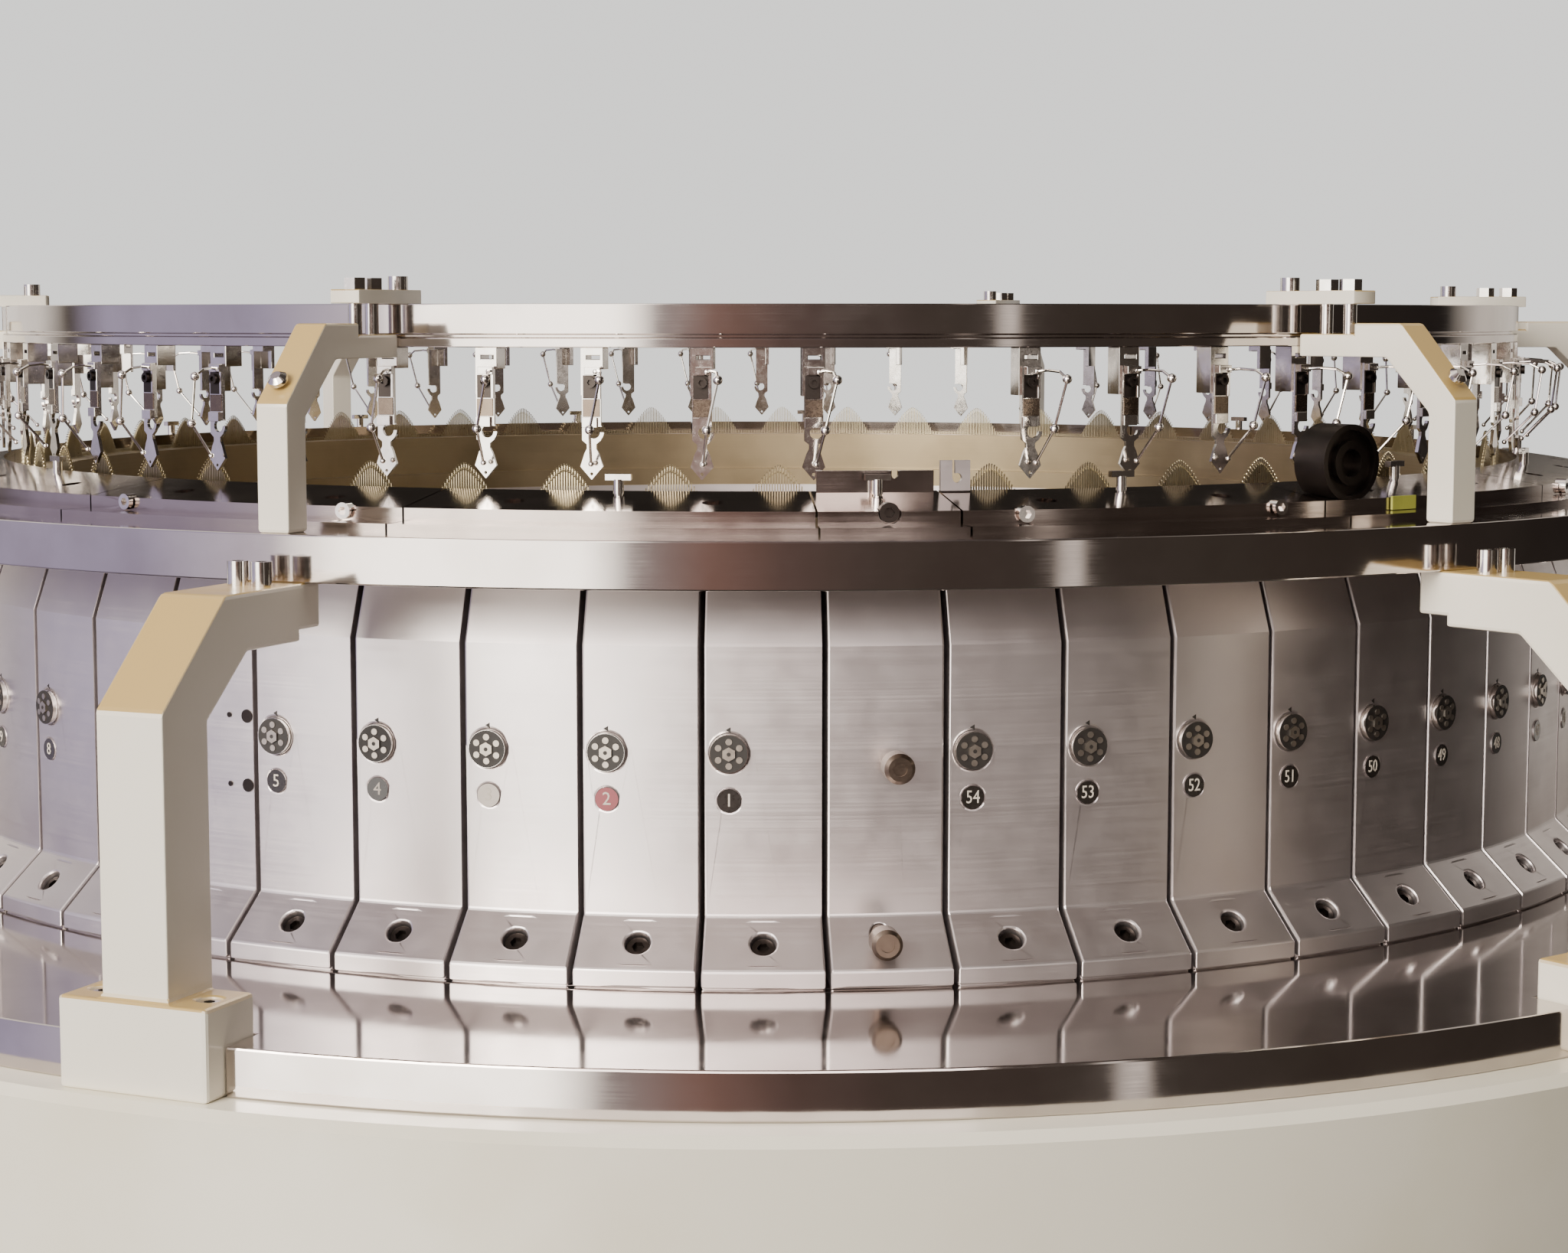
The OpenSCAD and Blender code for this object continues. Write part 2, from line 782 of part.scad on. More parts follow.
// The square clip beside the cap door that holds it shut
module door_clip() {
    clip_r = cap_edge_r + 1.5;
    angle = door_angle + cap_door_angle / 2 + clip_w / 2 / clip_r * deg + 0.05;
    color(STEEL)
        on_bed()
            outward(angle, clip_r, carrier_top + cap_edge_h)
                linear_extrude(shield_t)
                    difference() {
                        translate([-clip_w / 2, 0])
                            square(clip_w);
                        translate([0.8, clip_w * 0.42])
                            circle(d = 4.2);
                        translate([-1.4, clip_w * 0.42])
                            square([1.4, clip_w]);
                    }
}

// The space that a cap fills, and a small gap over it
module cap_space() {
    low_end = touch - 4 * tan(cap_tilt);
    polygon([[cap_edge_r - 4, 0], [cap_wall_r + 4, 0],
        [cap_wall_r + 4, carrier_top + cap_wall_h + low_end],
        [cap_edge_r - 4, carrier_top + cap_edge_h + touch + 4 * tan(cap_tilt)]]);
}

// A round needle detector that stands on the cap's slope by the right bracket
module needle_sensor() {
    depth = 18;
    color(DARK)
        on_bed()
            rotate([0, 0, bracket_angle + bracket_pitch - 2.3])
                difference() {
                    outward(0, cap_wall_r - depth, carrier_top + cap_wall_h + sensor_d / 2 - 1)
                        difference() {
                            cylinder(d = sensor_d, h = depth);
                            translate([0, 0, depth - 3])
                                difference() {
                                    cylinder(d = sensor_d - 5, h = depth);
                                    translate([0, 0, -1])
                                        cylinder(d = sensor_d * 0.58, h = depth);
                                }
                            translate([0, 0, depth - 5])
                                cylinder(d = sensor_d * 0.36, h = depth);
                        }
                    sector(12)
                        cap_space();
                }
}

// Section of a lower bracket: post, slanted face and stepped arm
module lower_section() {
    bend = carrier_z - post_slant_h;
    polygon([[post_in_r, foot_h], [post_r, foot_h], [post_r, bend],
        [post_r - post_slant_in, carrier_z], [arm_end_r, carrier_z],
        [arm_end_r, carrier_z - arm_end_h], [arm_end_r + 15, carrier_z - arm_end_h],
        [arm_end_r + 15, carrier_z - arm_end_h - arm_step_h],
        [post_in_r - 29, carrier_z - arm_end_h - arm_step_h], [post_in_r, bend - 7]]);
}

// Where a lower bracket's two foot screws stand, across the bracket
function foot_screw_x() = (foot_w + lower_w) / 4;

module lower_brackets() {
    foot_r = post_r + foot_lip;
    color(CREAM)
        on_bed()
            for (i = [0:bracket_count - 1])
                rotate([0, 0, post_angle(i)])
                    difference() {
                        union() {
                            radial_plate(lower_w)
                                lower_section();
                            translate([-foot_w / 2, -foot_r, casting_top])
                                cube([foot_w, foot_r - post_in_r, foot_h - casting_top]);
                        }
                        for (side = [-1, 1])
                            translate([side * foot_screw_x(), -(post_in_r + foot_r) / 2, foot_h - 8])
                                cylinder(d = arm_screw_d + 1, h = 20);
                    }
}

module bracket_screws() {
    foot_r = post_r + foot_lip;
    color(CHROME)
        on_bed()
            for (i = [0:bracket_count - 1])
                rotate([0, 0, post_angle(i)])
                    for (side = [-1, 1]) {
                        translate([side * arm_screw_gap / 2, -arm_screw_r, carrier_z])
                            socket_head(arm_screw_d, arm_screw_h);
                        translate([side * foot_screw_x(), -(post_in_r + foot_r) / 2, foot_h - 8])
                            socket_head(arm_screw_d, 7);
                    }
}

// Section of an upper bracket: post, slant and stepped arm
module upper_section() {
    bend = carrier_top + upper_post_h;
    in_r = upper_r - upper_post_t;
    polygon([[in_r, carrier_top], [upper_r, carrier_top], [upper_r, bend],
        [upper_r - upper_slant_in, upper_top], [upper_end_r + upper_end_l, upper_top],
        [upper_end_r + upper_end_l, upper_end_top], [upper_end_r, upper_end_top],
        [upper_end_r, upper_end_top - upper_end_h],
        [in_r - upper_slant_in + 6, upper_end_top - upper_end_h], [in_r, bend - 6]]);
}

// Places of an upper arm's two studs, as radii
function stud_radii() = [upper_end_r + stud_d * 1.6, upper_end_r + stud_d * 3.9];

module upper_brackets() {
    color(CREAM)
        on_bed()
            for (i = [0:bracket_count - 1])
                rotate([0, 0, post_angle(i)])
                    radial_plate(upper_w)
                        upper_section();
}

module ring_clamps() {
    in_r = feeder_r - feeder_ring_w + 4;
    color(CREAM)
        on_bed()
            for (i = [0:bracket_count - 1])
                rotate([0, 0, post_angle(i)])
                    translate([-upper_w / 2, -upper_end_r - upper_end_l, feeder_ring_top])
                        cube([upper_w, upper_end_r + upper_end_l - in_r, clamp_t]);
}

module clamp_studs() {
    nut_h = 5;
    color(CHROME)
        on_bed()
            for (i = [0:bracket_count - 1])
                rotate([0, 0, post_angle(i)]) {
                    for (r = stud_radii()) {
                        translate([0, -r, upper_end_top])
                            cylinder(d = stud_d, h = feeder_ring_top - upper_end_top);
                        translate([0, -r, feeder_ring_top + clamp_t])
                            cylinder(d = stud_d * 1.7, h = nut_h, $fn = 6);
                    }
                    translate([0, -feeder_r + feeder_ring_w / 2, feeder_ring_top + clamp_t])
                        socket_head(arm_screw_d, 6);
                }
}

module feeder_ring() {
    groove_z = feeder_ring_z + 4;
    color(STEEL)
        on_bed()
            difference() {
                ring(feeder_r - feeder_ring_w, feeder_r, feeder_ring_z, feeder_ring_top);
                ring(feeder_r - 2.4, feeder_r + 5, groove_z, groove_z + 1.6);
            }
}

// A feeder's slotted hanger block, seen from outside
module hanger_outline() {
    leg = 2.6;
    difference() {
        translate([-hanger_w / 2, -hanger_h])
            square([hanger_w, hanger_h]);
        translate([-hanger_w / 2 + leg, -hanger_h - 1])
            square([hanger_w - 2 * leg, hanger_h - 8]);
        translate([-hanger_w / 2 + leg, -5])
            square([hanger_w - 1.6 * leg, 1.6]);
        translate([hanger_w / 2 - leg, -hanger_h - 1])
            square([leg + 1, hanger_h * 0.6]);
    }
}

module feeder_hangers() {
    color(CHROME)
        on_bed()
            for (feed = [1:feeds])
                outward(feeder_angle(feed), feeder_r - hanger_t, feeder_ring_z)
                    linear_extrude(hanger_t)
                        hanger_outline();
}

// A feeder plate seen from outside: shank, open eye, neck and diamond tip, up from its point
module guide_outline() {
    h = feeder_l;
    w = plate_w / 2;
    eye = h * 0.36;
    difference() {
        union() {
            polygon([[0, 0], [w * 1.2, h * 0.1], [w * 0.75, h * 0.2], [w * 0.5, h * 0.235],
                [w * 0.5, h * 0.27], [w, h * 0.3], [w, h - 8], [-w, h - 8], [-w, h * 0.3],
                [-w * 0.5, h * 0.27], [-w * 0.5, h * 0.235], [-w * 0.75, h * 0.2],
                [-w * 1.2, h * 0.1]]);
            translate([w * 0.25, eye])
                circle(r = w * 1.05);
        }
        translate([w * 0.25, eye])
            circle(r = w * 0.66);
        translate([w * 0.3, eye])
            square([w * 2, w * 0.6]);
        translate([0, h * 0.045])
            circle(r = 0.7);
    }
}

module feeder_guides() {
    color(CHROME)
        on_bed()
            for (feed = [1:feeds])
                outward(feeder_angle(feed), feeder_r, feeder_tip)
                    linear_extrude(feeder_t)
                        guide_outline();
}

module feeder_screws() {
    color(DARK)
        on_bed()
            for (feed = [1:feeds])
                outward(feeder_angle(feed), feeder_r + feeder_t, feeder_ring_z - hanger_h * 0.72)
                    socket_head(4.6, 2.4);
}

module needle_cylinder() {
    color(STEEL)
        on_bed()
            rotate_extrude($fn = ring_fn)
                polygon([[cylinder_in_r, gear_top], [needle_r, gear_top],
                    [needle_r, trick_z], [cylinder_in_r, trick_z]]);
}

// Corner points of the grooved ring's outline
function groove_points() = let (half = groove_angle / 2) [
    for (i = [0:(feeds + 1) * needles_a_feed - 1]) let (a = needle_angle(i)) each [
        needle_r * dir(a - half), (needle_r - groove_depth) * dir(a - half),
        (needle_r - groove_depth) * dir(a + half), needle_r * dir(a + half)]];
function dir(a) = [sin(a), -cos(a)];
function needle_angle(i) = door_angle + (i + 0.5) * needle_pitch;

module trick_ring() {
    color(STEEL)
        on_bed()
            translate([0, 0, trick_z])
                linear_extrude(trick_h)
                    difference() {
                        polygon(groove_points());
                        circle(r = cylinder_in_r + 6, $fn = ring_fn);
                    }
}

// Section of a latch needle: stem and hook, leaning outwards
module needle_section(top) {
    back = needle_r - groove_depth + 0.2;
    stem = 1.8;
    polygon([[back, trick_z + 2], [back + stem, trick_z + 2], [back + stem, top - 3],
        [back + stem + 1, top - 1.7], [back + stem + 0.6, top], [back + 0.7, top],
        [back, top - 1.4]]);
}

module needles() {
    color(CHROME)
        on_bed()
            for (i = [0:(feeds + 1) * needles_a_feed - 1])
                rotate([0, 0, needle_angle(i)])
                    radial_plate(needle_t)
                        needle_section(verge_z + needle_rest + needle_lift * rise(needle_angle(i)));
}

module sinker_ring() {
    color(STEEL)
        on_bed()
            ring(sinker_in_r, sinker_out_r, sinker_z - sinker_ring_h, sinker_z);
}

// Corner points of the ring of sinker blades, which point inwards to the needles
function sinker_points() = let (
        blade = needle_pitch * 0.22, root_r = sinker_in_r + 22, tip_r = sinker_in_r + 1
    ) [for (i = [0:(feeds + 1) * needles_a_feed - 1])
        let (a = needle_angle(i) + needle_pitch / 2) each [
            root_r * dir(a - blade), tip_r * dir(a - blade),
            tip_r * dir(a + blade), root_r * dir(a + blade)]];

module sinkers() {
    color(CHROME)
        on_bed()
            translate([0, 0, sinker_z])
                linear_extrude(sinker_h)
                    difference() {
                        circle(r = sinker_out_r, $fn = ring_fn);
                        polygon(sinker_points());
                    }
}

module ring_gear() {
    color(STEEL)
        on_bed()
            difference() {
                translate([0, 0, gear_low])
                    linear_extrude(gear_h)
                        difference() {
                            rotate([0, 0, 90])
                                polygon(gear_points(gear_teeth));
                            circle(r = gear_in_r, $fn = ring_fn);
                        }
                ball_track();
            }
}

// The round track that the bearing balls run in, shared by the gear and the race
module ball_track() {
    rotate_extrude($fn = ring_fn)
        translate([race_r, (gear_low + race_top) / 2])
            circle(d = ball_d + 0.1);
}

module bearing_race() {
    color(STEEL)
        on_bed()
            difference() {
                ring(race_in_r, race_in_r + race_w, web_top, race_top);
                ball_track();
            }
}

module bearing_balls() {
    color(CHROME)
        on_bed()
            for (i = [0:ball_count - 1])
                rotate([0, 0, i * 360 / ball_count])
                    translate([0, -race_r, (gear_low + race_top) / 2])
                        sphere(d = ball_d);
}

module bed_plate() {
    notch_w = foot_w + 1;
    color(CHROME)
        on_bed()
            difference() {
                ring(plate_in_r, plate_r, casting_top, 0);
                for (i = [0:bracket_count - 1])
                    rotate([0, 0, post_angle(i)])
                        translate([-notch_w / 2, -plate_r - 5, casting_top - 5])
                            cube([notch_w, plate_r + 5 - post_in_r + 0.5, plate_t + 10]);
            }
}

// The bed: a table, a wall and a floor, bolted up as a round channel that is open inwards
module bed_casting() {
    color(CREAM)
        on_bed()
            rotate_extrude($fn = ring_fn)
                polygon([[plate_in_r, casting_top], [casting_r - casting_edge, casting_top],
                    [casting_r, casting_top - casting_edge], [casting_r, table_low],
                    [plate_in_r, table_low]]);
}

module bed_wall() {
    color(CREAM)
        on_bed()
            ring(casting_r - casting_wall, casting_r, web_top, table_low);
}

module bed_floor() {
    color(CREAM)
        on_bed()
            difference() {
                rotate_extrude($fn = ring_fn)
                    polygon([[race_in_r, casting_low], [casting_r - casting_edge, casting_low],
                        [casting_r, casting_low + casting_edge], [casting_r, web_top],
                        [race_in_r, web_top]]);
                translate([0, shaft_y, casting_low - 5])
                    cylinder(d = shaft_d + 20, h = casting_wall + 10);
            }
}

module drive_bush() {
    color("#b08d57")
        on_bed()
            translate([0, shaft_y, 0])
                difference() {
                    union() {
                        translate([0, 0, casting_low])
                            cylinder(d = shaft_d + 19.9, h = casting_wall);
                        translate([0, 0, casting_low - 8])
                            cylinder(d = shaft_d + 36, h = 8);
                    }
                    translate([0, 0, casting_low - 20])
                        cylinder(d = shaft_d + 2 * shaft_fit, h = casting_wall + 40);
                }
}

// The pinion cut in one piece with its shaft, which hangs out under the bed
module drive_shaft() {
    shoulder = (pinion_teeth - 4) * gear_module;
    color(STEEL)
        on_bed()
            translate([0, shaft_y, 0])
                union() {
                    translate([0, 0, gear_low])
                        linear_extrude(gear_h)
                            rotate([0, 0, -90 + 180 / pinion_teeth])
                                polygon(gear_points(pinion_teeth));
                    translate([0, 0, web_top + touch])
                        cylinder(d = min(shoulder, shaft_d + 14), h = gear_low - web_top - touch);
                    translate([0, 0, shaft_low + shaft_end_l])
                        cylinder(d = shaft_d, h = gear_low - shaft_low - shaft_end_l);
                    translate([0, 0, shaft_low])
                        cylinder(d = shaft_end_d, h = shaft_end_l + 1);
                }
}

// Section of a leg: a tapered column with a wider foot
module leg_section() {
    out_r = leg_in_r + leg_t;
    waist_r = out_r - leg_waist;
    knee_r = leg_in_r - leg_knee;
    polygon([[leg_in_r, leg_low], [out_r, leg_low], [out_r, leg_low + leg_foot_h],
        [waist_r, leg_low + leg_foot_h + 2 * leg_waist], [waist_r, casting_low - 2 * leg_head_h],
        [out_r, casting_low - leg_head_h], [out_r, casting_low], [knee_r, casting_low],
        [knee_r, casting_low - leg_head_h / 2], [leg_in_r, casting_low - leg_head_h - leg_knee]]);
}

module leg(angle) {
    color(CREAM)
        on_bed()
            rotate([0, 0, angle])
                union() {
                    radial_plate(leg_w)
                        leg_section();
                    translate([-leg_w / 2 - leg_sole, -leg_in_r - leg_t, leg_low])
                        cube([leg_w + 2 * leg_sole, leg_t, leg_foot_h / 2]);
                }
}

function leg_angle(i) = bracket_angle + i * 360 / leg_count;

module leg_front() {
    leg(leg_angle(0));
}

module leg_right() {
    leg(leg_angle(1));
}

module leg_left() {
    leg(leg_angle(2));
}

module levelling_feet() {
    nut_h = 10;
    color(STEEL)
        for (i = [0:leg_count - 1])
            rotate([0, 0, leg_angle(i)])
                translate([0, -leg_in_r - leg_t / 2, 0])
                    rotate_extrude()
                        polygon([[0, 0], [pad_d / 2, 0], [pad_d / 2, 6], [pad_d / 4, 14],
                            [11, 16], [11, level_h - nut_h], [18, level_h - nut_h],
                            [18, level_h], [0, level_h]]);
}

// Three arms from the legs to a hub with the post that the take-down frame turns on
module base_spider() {
    arm_h = 60;
    arm_w = 60;
    hub_r = 70;
    arm_low = spider_top - arm_h;
    shoulder = takedown_low - touch;
    color(CREAM)
        on_bed()
            union() {
                rotate_extrude()
                    polygon([[0, arm_low], [hub_r, arm_low], [hub_r, spider_top + 5],
                        [pivot_d / 2 + 10, spider_top + 5], [pivot_d / 2 + 10, shoulder],
                        [pivot_d / 2, shoulder], [pivot_d / 2, takedown_low + 12],
                        [0, takedown_low + 12]]);
                for (i = [0:leg_count - 1])
                    rotate([0, 0, leg_angle(i)])
                        translate([-arm_w / 2, -leg_in_r, arm_low + 3])
                            cube([arm_w, leg_in_r - hub_r / 2, arm_h - 3]);
            }
}

// The ring that hangs the take-down frame under the ring gear
module takedown_ring() {
    color("#8d9297")
        on_bed()
            ring(side_x - 20, takedown_r, takedown_top - takedown_ring_h, takedown_top);
}

// The welded frame that turns with the cylinder: side plates and floor
module takedown_frame() {
    floor_h = 16;
    color("#8d9297")
        on_bed()
            difference() {
                union() {
                    for (side = [-1, 1])
                        translate([side * (side_x + side_t / 2) - side_t / 2, -side_w / 2, takedown_low])
                            cube([side_t, side_w, takedown_h - takedown_ring_h]);
                    translate([-side_x - 1, -side_w / 2, takedown_low])
                        cube([2 * side_x + 2, side_w, floor_h]);
                }
                translate([0, 0, takedown_low - 5])
                    cylinder(d = pivot_d + 2 * shaft_fit, h = floor_h + 10);
                for (side = [-1, 1])
                    journal_bore(side * draw_y, draw_z);
                journal_bore(0, cloth_z);
            }
}

// A bore along X through both side plates
module journal_bore(y, z) {
    translate([-side_x - side_t - 5, y, z])
        rotate([0, 90, 0])
            cylinder(d = journal_d + 2 * shaft_fit, h = 2 * (side_x + side_t + 5));
}

// A roller between the side plates, with its journals in their bores
module roller(d, y, z) {
    body_l = side_gap - 2;
    full_l = side_gap + 2 * side_t;
    on_bed()
        translate([0, y, z])
            rotate([0, 90, 0])
                union() {
                    translate([0, 0, -body_l / 2])
                        cylinder(d = d, h = body_l);
                    translate([0, 0, -full_l / 2])
                        cylinder(d = journal_d, h = full_l);
                }
}

module draw_roller_front() {
    color("#5b5d60")
        roller(draw_d, -draw_y, draw_z);
}

module draw_roller_rear() {
    color("#5b5d60")
        roller(draw_d, draw_y, draw_z);
}

module cloth_roller() {
    color(STEEL)
        roller(cloth_d, 0, cloth_z);
}

bed_plate();
bed_casting();
bed_wall();
bed_floor();
leg_front();
leg_right();
leg_left();
levelling_feet();
base_spider();
lower_brackets();
bracket_screws();
carrier_ring();
cam_boxes();
cam_box_screws();
feed_badges();
stitch_dials();
sinker_caps();
cap_screws();
cap_knobs();
door_clip();
needle_sensor();
upper_brackets();
ring_clamps();
clamp_studs();
feeder_ring();
feeder_hangers();
feeder_guides();
feeder_screws();
bearing_race();
bearing_balls();
drive_bush();
needle_cylinder();
trick_ring();
needles();
sinker_ring();
sinkers();
ring_gear();
takedown_ring();
takedown_frame();
draw_roller_front();
draw_roller_rear();
cloth_roller();
drive_shaft();
door_box();
door_knobs();
cap_door();
cap_door_bolt();
cap_knob(cap_angle(0));  // cap_knob_left
cap_knob(door_angle);  // cap_knob_door
cap_knob(cap_angle(cap_count - 1));  // cap_knob_right
dial(1);  // dial_1
dial(2);  // dial_2
dial(3);  // dial_3
dial(4);  // dial_4
dial(5);  // dial_5
dial(feeds - 4);  // dial_50
dial(feeds - 3);  // dial_51
dial(feeds - 2);  // dial_52
dial(feeds - 1);  // dial_53
dial(feeds);  // dial_54
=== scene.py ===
"""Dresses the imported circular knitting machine: finishes, needles, guide wires, badges and light.

Lengths are metres in the part's own frame: +Z up from the floor, the door side faces -Y.
Places round the machine are degrees from the front, anticlockwise as seen from above.
"""

import json
import logging
import math
from dataclasses import dataclass, field
from enum import Enum
from typing import Any, Callable, Iterable, Optional, Sequence

import bmesh
import bpy
from mathutils import Matrix, Vector

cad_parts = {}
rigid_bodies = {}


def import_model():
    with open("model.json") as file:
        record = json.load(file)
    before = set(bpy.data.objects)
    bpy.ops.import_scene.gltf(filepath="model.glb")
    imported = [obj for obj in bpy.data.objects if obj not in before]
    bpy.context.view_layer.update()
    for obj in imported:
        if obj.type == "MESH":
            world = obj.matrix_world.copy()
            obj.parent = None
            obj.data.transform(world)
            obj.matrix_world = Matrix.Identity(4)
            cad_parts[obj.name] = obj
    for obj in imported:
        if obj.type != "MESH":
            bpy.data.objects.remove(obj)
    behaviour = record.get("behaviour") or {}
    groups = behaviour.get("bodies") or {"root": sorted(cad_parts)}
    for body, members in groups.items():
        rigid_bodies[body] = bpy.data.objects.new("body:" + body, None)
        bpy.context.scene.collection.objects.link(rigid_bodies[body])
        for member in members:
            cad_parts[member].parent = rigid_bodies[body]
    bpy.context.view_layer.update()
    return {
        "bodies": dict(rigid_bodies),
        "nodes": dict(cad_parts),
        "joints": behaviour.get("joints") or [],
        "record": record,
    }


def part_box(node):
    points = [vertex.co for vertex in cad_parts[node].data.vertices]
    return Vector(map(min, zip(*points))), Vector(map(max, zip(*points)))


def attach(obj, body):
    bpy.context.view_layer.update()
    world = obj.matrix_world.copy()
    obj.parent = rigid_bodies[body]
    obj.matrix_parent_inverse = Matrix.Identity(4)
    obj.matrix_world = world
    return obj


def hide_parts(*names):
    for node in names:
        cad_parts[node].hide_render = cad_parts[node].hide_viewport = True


log = logging.getLogger("knitting_machine")
MM = 0.001


class Grain(Enum):
    """How a metal surface was machined."""

    TURNED = "turned on a lathe, rings about the machine's axis"
    PLAIN = "ground or plated, no direction"


class Lit(Enum):
    """What a light shows in."""

    ALL = "all"
    METAL = "metal"
    PAINT = "paint"


class Body(Enum):
    """CAD bodies that pieces ride on."""

    FRAME = "bed_frame"
    CYLINDER = "cylinder"


def linear(hex_colour: str) -> tuple[float, float, float, float]:
    """Turns an sRGB hex colour to linear RGBA.

    Args:
        hex_colour: colour such as "#c9c6c4".

    Returns:
        The linear colour with an alpha of 1.
    """
    parts = [int(hex_colour[i:i + 2], 16) / 255 for i in (1, 3, 5)]
    curved = [p / 12.92 if p <= 0.04045 else ((p + 0.055) / 1.055) ** 2.4 for p in parts]
    return (curved[0], curved[1], curved[2], 1.0)


def add_node(tree: bpy.types.NodeTree, kind: str, links: Optional[dict] = None,
             **settings: Any) -> bpy.types.Node:
    """Adds one node to a tree with its values and links.

    Args:
        tree: the material's or world's node tree.
        kind: Blender's node type name.
        links: socket name or number to a plain value or to another node's output.
        settings: attributes set on the node itself.

    Returns:
        The new node.
    """
    node = tree.nodes.new(kind)
    for name, value in settings.items():
        setattr(node, name, value)
    for socket, value in (links or {}).items():
        if isinstance(value, bpy.types.NodeSocket):
            tree.links.new(value, node.inputs[socket])
        else:
            node.inputs[socket].default_value = value
    return node


def new_tree(name: str) -> tuple[bpy.types.Material, bpy.types.NodeTree]:
    """Makes an empty node material.

    Args:
        name: the material's name.

    Returns:
        The material and its node tree.
    """
    material = bpy.data.materials.new(name)
    material.use_nodes = True
    material.node_tree.nodes.clear()
    return material, material.node_tree


def noise(tree: bpy.types.NodeTree, place: bpy.types.NodeSocket, size: float,
          detail: float = 3.0) -> bpy.types.NodeSocket:
    """Adds a noise pattern whose blotches have a real size.

    Args:
        tree: the node tree.
        place: the coordinates to read.
        size: size of a blotch in metres.
        detail: octaves of finer noise.

    Returns:
        The noise value from 0 to 1.
    """
    node = add_node(tree, "ShaderNodeTexNoise", {"Vector": place, "Scale": 1 / size, "Detail": detail})
    return node.outputs["Fac"]


def spread(tree: bpy.types.NodeTree, value: bpy.types.NodeSocket, low: float, high: float,
           to_low: float, to_high: float) -> bpy.types.NodeSocket:
    """Maps a value from one range to another, clamped.

    Args:
        tree: the node tree.
        value: the value to map.
        low: start of the range read.
        high: end of the range read.
        to_low: result at the start.
        to_high: result at the end.

    Returns:
        The mapped value.
    """
    node = add_node(tree, "ShaderNodeMapRange", {"Value": value, "From Min": low, "From Max": high,
                                                 "To Min": to_low, "To Max": to_high})
    return node.outputs["Result"]


def blend_colours(tree: bpy.types.NodeTree, share: bpy.types.NodeSocket,
                  first: Any, second: Any) -> bpy.types.NodeSocket:
    """Blends two colours, hex values or sockets, by a share.

    Args:
        tree: the node tree.
        share: 0 gives the first colour and 1 the second.
        first: hex colour or socket.
        second: hex colour or socket.

    Returns:
        The blended colour.
    """
    values = [linear(c) if isinstance(c, str) else c for c in (first, second)]
    node = add_node(tree, "ShaderNodeMix", {"Factor": share, 6: values[0], 7: values[1]}, data_type="RGBA")
    return node.outputs[2]


